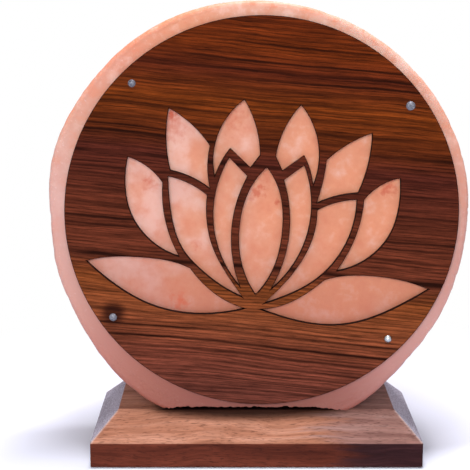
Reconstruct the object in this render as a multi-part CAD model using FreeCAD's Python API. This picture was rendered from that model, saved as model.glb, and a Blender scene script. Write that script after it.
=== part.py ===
import FreeCAD, Part
import math
import os

# Table lamp: a round slab of rock salt stands on a bevelled wooden base, behind a pierced wooden lotus panel.
# A small bulb in a holder, pushed up through the base from below, lights the slab from inside.
# Millimetres. x runs to the viewer's right, y away from the viewer, z up from the table.
# The origin lies on the table, under the middle of the base.

Vec = FreeCAD.Vector
ORIGIN = Vec(0, 0, 0)
RIGHT = Vec(1, 0, 0)
BACK = Vec(0, 1, 0)
UP = Vec(0, 0, 1)

# ---------------------------------------------------------------- wooden base
BASE_LENGTH = 180.6
BASE_DEPTH = 90.0
BASE_HEIGHT = 27.7
BASE_BAND_HEIGHT = 13.6        # upright band below the bevels
BASE_END_BEVEL = 14.3          # how far the bevel runs in at each end
BASE_LONG_BEVEL = 16.7         # how far it runs in at the front and the back
BASE_EDGE_ROUND = 0.8

FOOT_RADIUS = 7.0
FOOT_HEIGHT = 3.0
FOOT_PROUD = 0.7               # the thin dark gap between base and table
FOOT_INSET = 13.0              # from the base's sides to a foot's centre
FOOT_FIT = 0.1

# ---------------------------------------------------------------- lotus panel
PANEL_RADIUS = 104.9
PANEL_THICKNESS = 3.0
PANEL_TURN = 4.9               # degrees clockwise, as it was screwed on
PANEL_OFFSET = 2.45            # its centre is this far to the right of the base's
PANEL_LIFT = 4.6               # from the base's top to the disc's lowest point
# The four screws were set by eye. From the lower left, clockwise: degrees round the disc from its right-hand
# end, distance in from its edge, and the radius of the head.
PANEL_SCREW_ANGLES = (-140.2, 139.1, 41.7, -39.8)
PANEL_SCREW_INSETS = (7.4, 7.4, 7.8, 8.3)
PANEL_SCREW_HEAD_RADII = (2.1, 2.0, 2.4, 2.1)
LOTUS_SHIFT = 0.4              # the figure's middle line, right of the disc's centre
LOTUS_DISC_RADIUS = 104.9      # of the disc that the outlines below are drawn for; they scale with it

# Petal outlines in the panel's own frame. Both sides of a pair are written with x away from the middle line, and
# differ a little, as they were drawn by hand. Each line is one side of the petal: the corner where it starts,
# then what it passes on the way to the next line's corner.
CENTRE_PETAL = (
    ((0.1, 25.9), (9.1, 9.8), (11.3, -7.2), (9.4, -24.9)),
    ((0.3, -43.5), (-9.4, -24.5), (-11.5, -7.2), (-9.1, 9.6)),
)
CROWN_PETAL_LEFT = (
    ((14.8, 60.4), (7.9, 47.8)),
    ((4.1, 32.0),),
    ((8.6, 24.9),),
    ((20.1, 34.3), (24.0, 27.4)),
    ((27.0, 18.9), (26.8, 41.8)),
)
CROWN_PETAL_RIGHT = (
    ((15.0, 60.1), (7.7, 47.2)),
    ((4.3, 32.1),),
    ((8.5, 24.7),),
    ((19.2, 33.8), (22.6, 27.5)),
    ((25.4, 18.6), (25.6, 41.9)),
)
INNER_PETAL_LEFT = (
    ((20.1, 29.3),),
    ((9.7, 20.2), (15.8, -8.8)),
    ((8.6, -39.6), (25.5, -6.2)),
)
INNER_PETAL_RIGHT = (
    ((19.6, 28.6),),
    ((9.8, 19.9), (15.3, -8.8)),
    ((8.1, -39.8), (25.0, -6.4)),
)
SIDE_PETAL_LEFT = (
    ((73.5, 25.1), (62.9, 20.8)),
    ((54.3, 13.1), (51.5, -6.5)),
    ((42.4, -26.0), (61.1, -16.2), (69.1, -6.0), (73.6, 8.3)),
)
SIDE_PETAL_RIGHT = (
    ((70.9, 26.1), (60.9, 21.2)),
    ((53.2, 13.0), (50.8, -6.8)),
    ((42.4, -26.7), (60.0, -17.0), (67.9, -6.3), (71.7, 8.3)),
)
LEAF_LEFT = (
    ((91.8, -32.6), (78.5, -29.3), (60.7, -28.2), (47.8, -28.9)),
    ((36.1, -31.9), (30.4, -38.0), (20.9, -45.3)),
    ((4.8, -51.5), (20.6, -55.6), (37.3, -56.7), (55.9, -53.6), (73.6, -45.5)),
)
LEAF_RIGHT = (
    ((92.9, -32.6), (76.8, -28.9), (58.9, -28.0), (46.1, -29.3)),
    ((36.3, -32.4), (29.4, -38.9), (19.5, -46.0)),
    ((3.2, -51.2), (18.9, -55.1), (35.5, -57.0), (54.4, -54.5), (72.4, -46.4)),
)
UPPER_PETAL_LEFT = (
    ((53.9, 52.6), (42.0, 45.6)),
    ((30.9, 34.8), (31.4, 24.6)),
    ((29.0, 12.0), (41.1, 17.9)),
    ((50.6, 20.0), (54.1, 36.8)),
)
UPPER_PETAL_RIGHT = (
    ((53.7, 48.6), (41.2, 41.4)),
    ((31.2, 32.3), (30.5, 21.7)),
    ((28.1, 9.0), (39.5, 14.1)),
    ((49.5, 16.4), (53.3, 32.6)),
)
LOWER_PETAL_LEFT = (
    ((51.6, 16.7), (41.1, 14.1)),
    ((30.3, 8.4), (29.3, -5.5), (25.9, -17.4), (18.8, -30.0)),
    ((6.6, -45.4), (20.8, -38.8), (30.4, -32.1), (40.0, -22.9), (47.7, -5.8)),
)
LOWER_PETAL_RIGHT = (
    ((49.2, 12.6), (39.3, 10.4)),
    ((28.8, 5.2), (28.6, -6.6), (24.7, -19.8), (17.6, -32.5)),
    ((4.9, -48.0), (19.6, -41.0), (29.8, -34.1), (39.5, -23.6), (47.2, -7.3)),
)
LEFT_PETALS = (CROWN_PETAL_LEFT, INNER_PETAL_LEFT, SIDE_PETAL_LEFT, LEAF_LEFT, UPPER_PETAL_LEFT,
               LOWER_PETAL_LEFT)
RIGHT_PETALS = (CROWN_PETAL_RIGHT, INNER_PETAL_RIGHT, SIDE_PETAL_RIGHT, LEAF_RIGHT, UPPER_PETAL_RIGHT,
                LOWER_PETAL_RIGHT)

# ---------------------------------------------------------------- salt slab
SLAB_THICKNESS = 62.6
SLAB_OVERHANG = 3.0            # its front face stands this far in front of the base's top
SLAB_FRONT_CHAMFER = 1.2
SLAB_BACK_SLOPE = 15.0         # depth over which the rim falls away to the rough back
SLAB_BACK_INSET = 7.0
# Rim of salt that shows round the panel: its width at each of these angles, in degrees from the right. It is
# hand cut, so it is a little wider at the left and at its two lower corners. The base's top cuts it off flat.
SLAB_RIM_ANGLES = (0, 30, 60, 90, 120, 145, 168, 183, 193, 207, 218, 230, 242, 270, 297, 309, 330)
SLAB_RIM_WIDTHS = (5.5, 5.8, 5.9, 7.3, 9.1, 9.3, 10.0, 7.9, 9.0, 9.6, 11.6, 14.5, 16.2, 13.0, 14.3, 10.1, 7.1)

# ---------------------------------------------------------------- bores for the bulb and its holder
BORE_RADIUS = 19.0             # through the base and up into the salt
SALT_BORE_DEPTH = 97.0
RECESS_RADIUS = 25.0           # in the underside of the base, for the holder's flange
RECESS_DEPTH = 14.0
GROOVE_WIDTH = 8.0             # for the cord, from the recess to the back
GROOVE_HEADROOM = 1.4          # above the cord's way out

# ---------------------------------------------------------------- fasteners
PANEL_SCREW_RADIUS = 1.3
PANEL_SCREW_LENGTH = 20.0
PANEL_SCREW_HEAD_HEIGHT = 1.4
PANEL_HOLE_CLEARANCE = 0.3
PANEL_PLUG_WALL = 1.2
PANEL_PLUG_LENGTH = 17.0

SLAB_SCREW_SPREAD = 38.0       # from the bore's axis
SLAB_SCREW_RADIUS = 2.2
SLAB_SCREW_BITE = 24.0         # how far it reaches into the salt
SLAB_SCREW_HEAD_RADIUS = 4.2
SLAB_SCREW_HEAD_HEIGHT = 2.8
SLAB_SCREW_RECESS_DEPTH = 7.0
SLAB_SCREW_HOLE_CLEARANCE = 0.3
SLAB_WASHER_RADIUS = 5.0
SLAB_WASHER_THICKNESS = 1.0
SLAB_PLUG_WALL = 1.8
SLAB_PLUG_LENGTH = 27.0

THREAD_FIT = 0.05              # screw in plug or strip, plug in salt
DRILLED_PAST = 1.0             # a hole in the salt is this much deeper than what goes in it
POINT_LENGTH = 3.0             # tapered end of a wood screw

# ---------------------------------------------------------------- lamp holder
FLANGE_CLEARANCE = 1.5         # flange to recess wall
FLANGE_THICKNESS = 2.5
SLEEVE_RADIUS = 13.5
SLEEVE_WALL = 2.0
SLEEVE_HEIGHT = 31.0           # above the flange
SLEEVE_LEDGE_HEIGHT = 4.0      # above the flange, where the core rests
SLEEVE_LEDGE_WIDTH = 2.0
SLEEVE_TOP_CHAMFER = 0.8

LOWER_CAP_RADIUS = 17.0
LOWER_CAP_WALL = 2.0
LOWER_CAP_FLOOR = 1.6
LOWER_CAP_RIM_WIDTH = 5.0
LOWER_CAP_RIM_THICKNESS = 1.8
LOWER_CAP_GROUND_GAP = 0.8     # up from the base's underside
CAP_SCREW_RADIUS = 1.4
CAP_SCREW_HEAD_RADIUS = 2.3
CAP_SCREW_HEAD_HEIGHT = 1.5
CAP_SCREW_BITE = 2.0           # into the flange

CORD_BORE_RADIUS = 2.8
BUSH_WALL = 0.7
BUSH_INSIDE = 1.0              # stands in from the lower cap's wall
BUSH_OUTSIDE = 4.0             # stands out from it

CORE_THICKNESS = 6.0
CORE_FIT = 0.1
CORE_POCKET_DEPTH = 3.0
CORE_POCKET_RADIUS = 5.0

CONTACT_SHELL_HEIGHT = 19.0
CONTACT_SHELL_WALL = 0.4
CONTACT_SHELL_FLANGE = 1.6
CONTACT_RISE = 1.8             # centre contact above the core
STRIP_THICKNESS = 0.5
STRIP_WIDTH = 4.0
STRIP_FIT = 0.15
STRIP_LEG_OFFSET = 8.2         # of the two strips' legs from the axis
TERMINAL_OFFSET = 4.4          # of the terminal screws from the axis
TERMINAL_DROP = 7.0            # of the terminals below the core
TERMINAL_SCREW_RADIUS = 1.3
TERMINAL_SCREW_HEAD_RADIUS = 2.1
TERMINAL_SCREW_HEAD_HEIGHT = 1.6
TERMINAL_SCREW_LENGTH = 4.0

COLLAR_HEIGHT = 6.0
COLLAR_DROP = 2.0              # below the sleeve's top
COLLAR_THICKNESS = 0.5
COLLAR_FIT = 0.05
RIVET_RADIUS = 1.1
RIVET_HEAD_RADIUS = 1.9
RIVET_HEAD_HEIGHT = 0.7

WING_WIDTH = 7.0
WING_LENGTH = 19.0
WING_THICKNESS = 0.45
WING_FOOT = 2.6                # turned-in lower end
WING_ROOT_GAP = 0.2            # from the collar, where the spring bends
WING_BORE_CLEARANCE = 0.25

# ---------------------------------------------------------------- bulb
BULB_LENGTH = 57.0
GLOBE_RADIUS = 13.0
GLASS_WALL = 0.8
NECK_FIT = 0.15                # glass neck in the cap
NECK_INSERT = 6.0              # how far the neck reaches down into the cap
BULB_CAP_RADIUS = 6.9
BULB_CAP_WALL = 0.4
BULB_CAP_HEIGHT = 21.0
BULB_CAP_FIT = 0.08            # cap in the contact shell
BULB_TIP_RADIUS = 2.4
BULB_TIP_HEIGHT = 1.0
BULB_INSULATOR_RADIUS = 5.4
BULB_INSULATOR_HEIGHT = 3.0
BULB_TIP_GAP = 0.2             # over the centre contact
STEM_RADIUS = 2.4
STEM_HEIGHT = 15.0
STEM_FLARE_THICKNESS = 1.0
LEAD_RADIUS = 0.3
LEAD_BITE = 2.0                # into the stem
FILAMENT_RADIUS = 0.2
FILAMENT_HALF_SPAN = 7.0
FILAMENT_HEIGHT = 24.0         # of its ends above the cap's rim
FILAMENT_SAG = 2.5
FILAMENT_END_GAP = 0.35        # from a lead's side, clear of the arch's slope

CUT_PAST = 1.0                 # how far a cutter reaches beyond what it cuts

# ---------------------------------------------------------------- places that follow from the sizes
base_bottom = FOOT_PROUD
base_top = FOOT_PROUD + BASE_HEIGHT
band_top = base_bottom + BASE_BAND_HEIGHT
top_half_length = BASE_LENGTH / 2 - BASE_END_BEVEL
top_half_depth = BASE_DEPTH / 2 - BASE_LONG_BEVEL

slab_front = -top_half_depth - SLAB_OVERHANG
slab_back = slab_front + SLAB_THICKNESS
panel_front = slab_front - PANEL_THICKNESS
panel_height = base_top + PANEL_LIFT + PANEL_RADIUS

bore_y = (slab_front + slab_back) / 2
bore_top = base_top + SALT_BORE_DEPTH
flange_top = base_bottom + RECESS_DEPTH
flange_bottom = flange_top - FLANGE_THICKNESS
flange_radius = RECESS_RADIUS - FLANGE_CLEARANCE
sleeve_top = flange_top + SLEEVE_HEIGHT
sleeve_inner = SLEEVE_RADIUS - SLEEVE_WALL
ledge_inner = sleeve_inner - SLEEVE_LEDGE_WIDTH

lower_cap_bottom = base_bottom + LOWER_CAP_GROUND_GAP
lower_cap_inner_floor = lower_cap_bottom + LOWER_CAP_FLOOR
lower_cap_rim_bottom = flange_bottom - LOWER_CAP_RIM_THICKNESS
lower_cap_rim_radius = LOWER_CAP_RADIUS + LOWER_CAP_RIM_WIDTH
cap_screw_offset = LOWER_CAP_RADIUS + LOWER_CAP_RIM_WIDTH / 2
bush_radius = CORD_BORE_RADIUS + BUSH_WALL
cord_height = (lower_cap_inner_floor + lower_cap_rim_bottom) / 2
groove_top = cord_height + CORD_BORE_RADIUS + GROOVE_HEADROOM

core_bottom = flange_top + SLEEVE_LEDGE_HEIGHT
core_top = core_bottom + CORE_THICKNESS
core_radius = sleeve_inner - CORE_FIT
contact_top = core_top + CONTACT_RISE
terminal_height = core_bottom - TERMINAL_DROP
contact_shell_inner = BULB_CAP_RADIUS + BULB_CAP_FIT
contact_shell_outer = contact_shell_inner + CONTACT_SHELL_WALL

collar_inner = SLEEVE_RADIUS + COLLAR_FIT
collar_outer = collar_inner + COLLAR_THICKNESS
collar_top = sleeve_top - COLLAR_DROP
collar_bottom = collar_top - COLLAR_HEIGHT

bulb_bottom = contact_top + BULB_TIP_GAP
bulb_cap_bottom = bulb_bottom + BULB_TIP_HEIGHT + BULB_INSULATOR_HEIGHT
bulb_cap_top = bulb_cap_bottom + BULB_CAP_HEIGHT
neck_radius = BULB_CAP_RADIUS - BULB_CAP_WALL - NECK_FIT
neck_bottom = bulb_cap_top - NECK_INSERT
globe_height = bulb_bottom + BULB_LENGTH - GLOBE_RADIUS


# ---------------------------------------------------------------- small helpers
def cylinder(radius, low, high, x=0.0, y=0.0):
    return Part.makeCylinder(radius, high - low, Vec(x, y, low), UP)


def cylinder_back(radius, front, back, x, z):
    return Part.makeCylinder(radius, back - front, Vec(x, front, z), BACK)


def block(low, high):
    size = high - low
    return Part.makeBox(size.x, size.y, size.z, low)


def at_bore(shape):
    """Move a piece that was made on the z axis onto the axis of the bulb's bore."""
    shape.translate(Vec(0, bore_y, 0))
    return shape


def closed_face(points):
    return Part.Face(Part.makePolygon(points + [points[0]]))


def turned(profile):
    """Solid of revolution about the z axis, from (radius, height) corners."""
    return closed_face([Vec(r, 0, z) for r, z in profile]).revolve(ORIGIN, UP, 360)


def line(start, end):
    return Part.LineSegment(start, end).toShape()


def tube(inner, outer, low, high):
    return turned([(inner, low), (outer, low), (outer, high), (inner, high)])


def strip(path, thickness, width):
    """Bent metal strip: its middle line is path, in (x, z), and it is width wide along y."""
    points = [Vec(x, 0, z) for x, z in path]
    half = thickness / 2
    one_side = []
    other_side = []
    for index, point in enumerate(points):
        before = points[max(index - 1, 0)]
        after = points[min(index + 1, len(points) - 1)]
        into = (point - before if index > 0 else after - point).normalize()
        out_of = (after - point if index < len(points) - 1 else point - before).normalize()
        normal = Vec(-into.z - out_of.z, 0, into.x + out_of.x).normalize()
        mitre = half / normal.dot(Vec(-into.z, 0, into.x))
        one_side.append(point + normal * mitre)
        other_side.append(point - normal * mitre)
    face = closed_face(one_side + other_side[::-1])
    face.translate(Vec(0, -width / 2, 0))
    return face.extrude(BACK * width)


def round_headed_screw(head_radius, head_height, shank_radius, length, point_length):
    """Screw along +z, with the underside of its head at z = 0. The head is part of a ball."""
    ball = (head_radius ** 2 + head_height ** 2) / (2 * head_height)
    half = math.asin(head_radius / ball) / 2
    halfway = Vec(ball * math.sin(half), 0, ball - head_height - ball * math.cos(half))
    crown = Part.Arc(Vec(0, 0, -head_height), halfway, Vec(head_radius, 0, 0))
    tip_radius = 0.2 * shank_radius
    corners = [
        Vec(head_radius, 0, 0),
        Vec(shank_radius, 0, 0),
        Vec(shank_radius, 0, length - point_length),
        Vec(tip_radius, 0, length),
        Vec(0, 0, length),
        Vec(0, 0, -head_height),
    ]
    wire = Part.Wire([crown.toShape()] + Part.makePolygon(corners).Edges)
    return Part.Face(wire).revolve(ORIGIN, UP, 360)


def flat_headed_screw(head_radius, head_height, shank_radius, length):
    """Machine screw along +z, with the underside of its head at z = 0."""
    return turned([
        (0, -head_height), (head_radius, -head_height), (head_radius, 0),
        (shank_radius, 0), (shank_radius, length), (0, length),
    ])


def copies(shape, places):
    """A group of separate copies of a piece, one at each place."""
    group = []
    for place in places:
        one = shape.copy()
        one.translate(place)
        group.append(one)
    return Part.makeCompound(group)


def cut_all(solid, tools):
    return solid.cut(Part.makeCompound(tools)) if tools else solid


# ---------------------------------------------------------------- panel frame
def onto_panel(shape, front):
    """Place a shape, drawn about the panel's own centre, at a depth and at the panel's turn."""
    place = FreeCAD.Placement(Vec(PANEL_OFFSET, front, panel_height), FreeCAD.Rotation(BACK, PANEL_TURN))
    shape.Placement = place.multiply(shape.Placement)
    return shape


def panel_screw_places(front):
    """The four screws, as points at a given depth."""
    turn = FreeCAD.Rotation(BACK, PANEL_TURN)
    centre = Vec(PANEL_OFFSET, front, panel_height)
    places = []
    for degrees, inset in zip(PANEL_SCREW_ANGLES, PANEL_SCREW_INSETS):
        angle = math.radians(degrees)
        places.append(centre + turn.multVec(Vec(math.cos(angle), 0, math.sin(angle)) * (PANEL_RADIUS - inset)))
    return places


def petal_edge(points):
    """A straight side, an arc through three points, or a smooth curve through more."""
    if len(points) == 2:
        return line(points[0], points[1])
    if len(points) == 3:
        return Part.Arc(points[0], points[1], points[2]).toShape()
    curve = Part.BSplineCurve()
    curve.interpolate(points)
    return curve.toShape()


def petal_cutter(outline, mirror):
    """Prism for one petal, longer than the panel is thick. mirror is 1, or -1 at the left."""
    scale = PANEL_RADIUS / LOTUS_DISC_RADIUS
    edges = []
    for index, side in enumerate(outline):
        following = outline[(index + 1) % len(outline)][0]
        points = [Vec(LOTUS_SHIFT + mirror * x, 0, z) * scale for x, z in side + (following,)]
        edges.append(petal_edge(points))
    prism = Part.Face(Part.Wire(edges)).extrude(BACK * (PANEL_THICKNESS + 2 * CUT_PAST))
    prism.translate(BACK * -CUT_PAST)
    return prism


def lotus_cutters():
    cutters = [petal_cutter(outline, 1) for outline in (CENTRE_PETAL,) + RIGHT_PETALS]
    cutters += [petal_cutter(outline, -1) for outline in LEFT_PETALS]
    return cutters


def lotus_panel():
    disc = Part.makeCylinder(PANEL_RADIUS, PANEL_THICKNESS, ORIGIN, BACK)
    panel = onto_panel(disc.cut(Part.makeCompound(lotus_cutters())), panel_front)
    hole = PANEL_SCREW_RADIUS + PANEL_HOLE_CLEARANCE
    places = panel_screw_places(panel_front)
    return cut_all(panel, [cylinder_back(hole, p.y, p.y + PANEL_THICKNESS, p.x, p.z) for p in places])


def panel_screws():
    screws = []
    for head_radius, place in zip(PANEL_SCREW_HEAD_RADII, panel_screw_places(panel_front)):
        screw = round_headed_screw(head_radius, PANEL_SCREW_HEAD_HEIGHT, PANEL_SCREW_RADIUS, PANEL_SCREW_LENGTH,
                                   POINT_LENGTH)
        screw.rotate(ORIGIN, RIGHT, -90)
        screw.translate(place)
        screws.append(screw)
    return Part.makeCompound(screws)


def panel_plug_radius():
    return PANEL_SCREW_RADIUS + THREAD_FIT + PANEL_PLUG_WALL


def panel_screw_plugs():
    plug = tube(PANEL_SCREW_RADIUS + THREAD_FIT, panel_plug_radius(), 0, PANEL_PLUG_LENGTH)
    plug.rotate(ORIGIN, RIGHT, -90)
    return copies(plug, panel_screw_places(slab_front))


# ---------------------------------------------------------------- salt slab
def slab_outline(inset, y):
    """The hand-cut rim as a closed smooth curve, shrunk by about inset all round, at depth y."""
    centre = Vec(PANEL_OFFSET, y, panel_height)
    points = []
    for degrees, rim in zip(SLAB_RIM_ANGLES, SLAB_RIM_WIDTHS):
        angle = math.radians(degrees)
        radius = (PANEL_RADIUS + rim) * (1 - inset / PANEL_RADIUS)
        points.append(centre + Vec(math.cos(angle), 0, math.sin(angle)) * radius)
    curve = Part.BSplineCurve()
    curve.interpolate(Points=points, PeriodicFlag=True)
    return Part.Wire([curve.toShape()])


def rough_slab():
    """Front chamfer, straight rim and sloping rough back, then cut off level with the base's top."""
    sections = [
        slab_outline(SLAB_FRONT_CHAMFER, slab_front),
        slab_outline(0, slab_front + SLAB_FRONT_CHAMFER),
        slab_outline(0, slab_back - SLAB_BACK_SLOPE),
        slab_outline(SLAB_BACK_INSET / 3, slab_back - SLAB_BACK_SLOPE / 2.5),
        slab_outline(SLAB_BACK_INSET, slab_back),
    ]
    body = Part.makeLoft(sections, True, True)
    reach = 2 * PANEL_RADIUS
    low = Vec(-reach, slab_front - CUT_PAST, base_top - reach)
    return body.cut(block(low, Vec(reach, slab_back + CUT_PAST, base_top)))


def slab_screw_places(z):
    return [Vec(side * SLAB_SCREW_SPREAD, bore_y, z) for side in (-1, 1)]


def slab_plug_radius():
    return SLAB_SCREW_RADIUS + THREAD_FIT + SLAB_PLUG_WALL


def salt_slab():
    tools = [cylinder(BORE_RADIUS, base_top - CUT_PAST, bore_top, 0, bore_y)]
    hole = panel_plug_radius() + THREAD_FIT
    depth = max(PANEL_PLUG_LENGTH, PANEL_SCREW_LENGTH - PANEL_THICKNESS) + DRILLED_PAST
    for p in panel_screw_places(slab_front):
        tools.append(cylinder_back(hole, p.y - CUT_PAST, p.y + depth, p.x, p.z))
    hole = slab_plug_radius() + THREAD_FIT
    depth = max(SLAB_PLUG_LENGTH, SLAB_SCREW_BITE) + DRILLED_PAST
    for p in slab_screw_places(base_top):
        tools.append(cylinder(hole, p.z - CUT_PAST, p.z + depth, p.x, p.y))
    return cut_all(rough_slab(), tools)


# ---------------------------------------------------------------- wooden base
def is_along(edge, run):
    ends = [vertex.Point for vertex in edge.Vertexes]
    return (ends[1] - ends[0]).cross(run).Length < 1e-6


def rounded_bar(corners, run):
    """Bar with this polygon as its section, and its long edges rounded over."""
    bar = closed_face(corners).extrude(run)
    long_edges = [edge for edge in bar.Edges if is_along(edge, run)]
    return bar.makeFillet(BASE_EDGE_ROUND, long_edges)


def bevelled_section(half_width, half_top, place):
    """Band and bevels seen from one side. place turns a corner's (across, z) into a point."""
    heights = [base_bottom, band_top, base_top, base_top, band_top, base_bottom]
    widths = [half_width, half_width, half_top, -half_top, -half_width, -half_width]
    return [place(across, z) for across, z in zip(widths, heights)]


def base_block():
    """What the block's front view, end view and plan have in common."""
    half_length = BASE_LENGTH / 2
    half_depth = BASE_DEPTH / 2
    front_view = bevelled_section(half_length, top_half_length, lambda across, z: Vec(across, -half_depth, z))
    end_view = bevelled_section(half_depth, top_half_depth, lambda across, z: Vec(-half_length, across, z))
    corners = [(-1, -1), (1, -1), (1, 1), (-1, 1)]
    plan = [Vec(sx * half_length, sy * half_depth, base_bottom) for sx, sy in corners]
    body = rounded_bar(front_view, BACK * BASE_DEPTH)
    body = body.common(rounded_bar(end_view, RIGHT * BASE_LENGTH))
    return body.common(rounded_bar(plan, UP * BASE_HEIGHT))


def foot_places(z):
    dx = BASE_LENGTH / 2 - FOOT_INSET
    dy = BASE_DEPTH / 2 - FOOT_INSET
    return [Vec(sx * dx, sy * dy, z) for sx in (-1, 1) for sy in (-1, 1)]


def wood_base():
    below = base_bottom - CUT_PAST
    above = base_top + CUT_PAST
    groove_low = Vec(-GROOVE_WIDTH / 2, bore_y, below)
    groove_high = Vec(GROOVE_WIDTH / 2, BASE_DEPTH / 2 + CUT_PAST, groove_top)
    tools = [
        cylinder(BORE_RADIUS, below, above, 0, bore_y),
        cylinder(RECESS_RADIUS, below, flange_top, 0, bore_y),
        block(groove_low, groove_high),
    ]
    tools += [cylinder(FOOT_RADIUS + FOOT_FIT, below, FOOT_HEIGHT, p.x, p.y) for p in foot_places(0)]
    hole = SLAB_SCREW_RADIUS + SLAB_SCREW_HOLE_CLEARANCE
    recess = SLAB_WASHER_RADIUS + SLAB_SCREW_HOLE_CLEARANCE
    for p in slab_screw_places(base_bottom + SLAB_SCREW_RECESS_DEPTH):
        tools.append(cylinder(hole, below, above, p.x, p.y))
        tools.append(cylinder(recess, below, p.z, p.x, p.y))
    body = base_block()
    for tool in tools:
        body = body.cut(tool)
    return body


def base_feet():
    return copies(cylinder(FOOT_RADIUS, 0, FOOT_HEIGHT), foot_places(0))


def slab_screws():
    seat = base_bottom + SLAB_SCREW_RECESS_DEPTH - SLAB_WASHER_THICKNESS
    screw = round_headed_screw(SLAB_SCREW_HEAD_RADIUS, SLAB_SCREW_HEAD_HEIGHT, SLAB_SCREW_RADIUS,
                               base_top + SLAB_SCREW_BITE - seat, POINT_LENGTH)
    return copies(screw, slab_screw_places(seat))


def slab_screw_washers():
    top = base_bottom + SLAB_SCREW_RECESS_DEPTH
    washer = tube(SLAB_SCREW_RADIUS + THREAD_FIT, SLAB_WASHER_RADIUS, -SLAB_WASHER_THICKNESS, 0)
    return copies(washer, slab_screw_places(top))


def slab_screw_plugs():
    plug = tube(SLAB_SCREW_RADIUS + THREAD_FIT, slab_plug_radius(), 0, SLAB_PLUG_LENGTH)
    return copies(plug, slab_screw_places(base_top))


# ---------------------------------------------------------------- lamp holder
def side_places(offset, z):
    return [Vec(side * offset, 0, z) for side in (-1, 1)]


def holder_shell():
    """Moulded flange and sleeve in one, with a ledge inside for the core."""
    shell = turned([
        (ledge_inner, flange_bottom), (flange_radius, flange_bottom), (flange_radius, flange_top),
        (SLEEVE_RADIUS, flange_top), (SLEEVE_RADIUS, sleeve_top - SLEEVE_TOP_CHAMFER),
        (SLEEVE_RADIUS - SLEEVE_TOP_CHAMFER, sleeve_top), (sleeve_inner, sleeve_top),
        (sleeve_inner, core_bottom), (ledge_inner, core_bottom),
    ])
    hole = CAP_SCREW_RADIUS + THREAD_FIT
    hole_top = flange_bottom + CAP_SCREW_BITE
    places = side_places(cap_screw_offset, 0)
    tools = [cylinder(hole, flange_bottom - CUT_PAST, hole_top, p.x, p.y) for p in places]
    rivet_height = (collar_top + collar_bottom) / 2
    tools.append(cylinder_back(RIVET_RADIUS + THREAD_FIT, -SLEEVE_RADIUS, SLEEVE_RADIUS, 0, rivet_height))
    return at_bore(cut_all(shell, tools))


def holder_lower_cap():
    """Cup that closes the holder from below, with a rim for its two screws and a hole for the cord's bush."""
    inner = LOWER_CAP_RADIUS - LOWER_CAP_WALL
    cup = turned([
        (0, lower_cap_bottom), (LOWER_CAP_RADIUS, lower_cap_bottom), (LOWER_CAP_RADIUS, lower_cap_rim_bottom),
        (lower_cap_rim_radius, lower_cap_rim_bottom), (lower_cap_rim_radius, flange_bottom),
        (inner, flange_bottom), (inner, lower_cap_inner_floor), (0, lower_cap_inner_floor),
    ])
    hole = CAP_SCREW_RADIUS + THREAD_FIT
    low = lower_cap_rim_bottom - CUT_PAST
    places = side_places(cap_screw_offset, 0)
    tools = [cylinder(hole, low, flange_bottom + CUT_PAST, p.x, p.y) for p in places]
    tools.append(cylinder_back(bush_radius + THREAD_FIT, 0, LOWER_CAP_RADIUS + CUT_PAST, 0, cord_height))
    return at_bore(cut_all(cup, tools))


def holder_cap_screws():
    screw = flat_headed_screw(CAP_SCREW_HEAD_RADIUS, CAP_SCREW_HEAD_HEIGHT, CAP_SCREW_RADIUS,
                              LOWER_CAP_RIM_THICKNESS + CAP_SCREW_BITE)
    return at_bore(copies(screw, side_places(cap_screw_offset, lower_cap_rim_bottom)))


def cord_bush():
    """Sleeve in the lower cap's back wall that the cord comes in through."""
    front = LOWER_CAP_RADIUS - LOWER_CAP_WALL - BUSH_INSIDE
    back = LOWER_CAP_RADIUS + BUSH_OUTSIDE
    outside = cylinder_back(bush_radius, front, back, 0, cord_height)
    bore = cylinder_back(CORD_BORE_RADIUS, front - CUT_PAST, back + CUT_PAST, 0, cord_height)
    return at_bore(outside.cut(bore))


def socket_core():
    """Insulating disc that carries both contacts, with a pocket and two slots for their strips."""
    half = STRIP_WIDTH / 2 + STRIP_FIT
    slot = STRIP_THICKNESS / 2 + STRIP_FIT
    floor = core_top - CORE_POCKET_DEPTH
    below = core_bottom - CUT_PAST
    above = core_top + CUT_PAST
    tools = [
        cylinder(CORE_POCKET_RADIUS, floor, above),
        block(Vec(-STRIP_LEG_OFFSET - slot, -half, floor), Vec(0, half, above)),
    ]
    for side in (-1, 1):
        x = side * STRIP_LEG_OFFSET
        tools.append(block(Vec(x - slot, -half, below), Vec(x + slot, half, above)))
    core = cylinder(core_radius, core_bottom, core_top)
    for tool in tools:
        core = core.cut(tool)
    return at_bore(core)


def contact_shell():
    """Thin shell that the bulb screws into, with a turned-out foot on the core."""
    foot = contact_shell_outer + CONTACT_SHELL_FLANGE
    foot_top = core_top + CONTACT_SHELL_WALL
    shell_top = core_top + CONTACT_SHELL_HEIGHT
    shell = turned([
        (contact_shell_inner, core_top), (foot, core_top), (foot, foot_top), (contact_shell_outer, foot_top),
        (contact_shell_outer, shell_top), (contact_shell_inner, shell_top),
    ])
    half = STRIP_WIDTH / 2 + STRIP_FIT
    relief = block(Vec(-foot - CUT_PAST, -half, core_top - CUT_PAST), Vec(0, half, foot_top + CUT_PAST))
    return at_bore(shell.cut(relief))


def terminal_leg(side, first):
    """Strip down through the core and in under it, with a hole for its terminal screw."""
    lower = terminal_height + STRIP_THICKNESS / 2
    inner_end = TERMINAL_OFFSET - 1.2 * TERMINAL_SCREW_HEAD_RADIUS
    path = first + [(side * STRIP_LEG_OFFSET, lower), (side * inner_end, lower)]
    hole = cylinder(TERMINAL_SCREW_RADIUS + THREAD_FIT, terminal_height - CUT_PAST,
                    terminal_height + STRIP_THICKNESS + CUT_PAST, side * TERMINAL_OFFSET)
    return at_bore(strip(path, STRIP_THICKNESS, STRIP_WIDTH).cut(hole))


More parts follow.
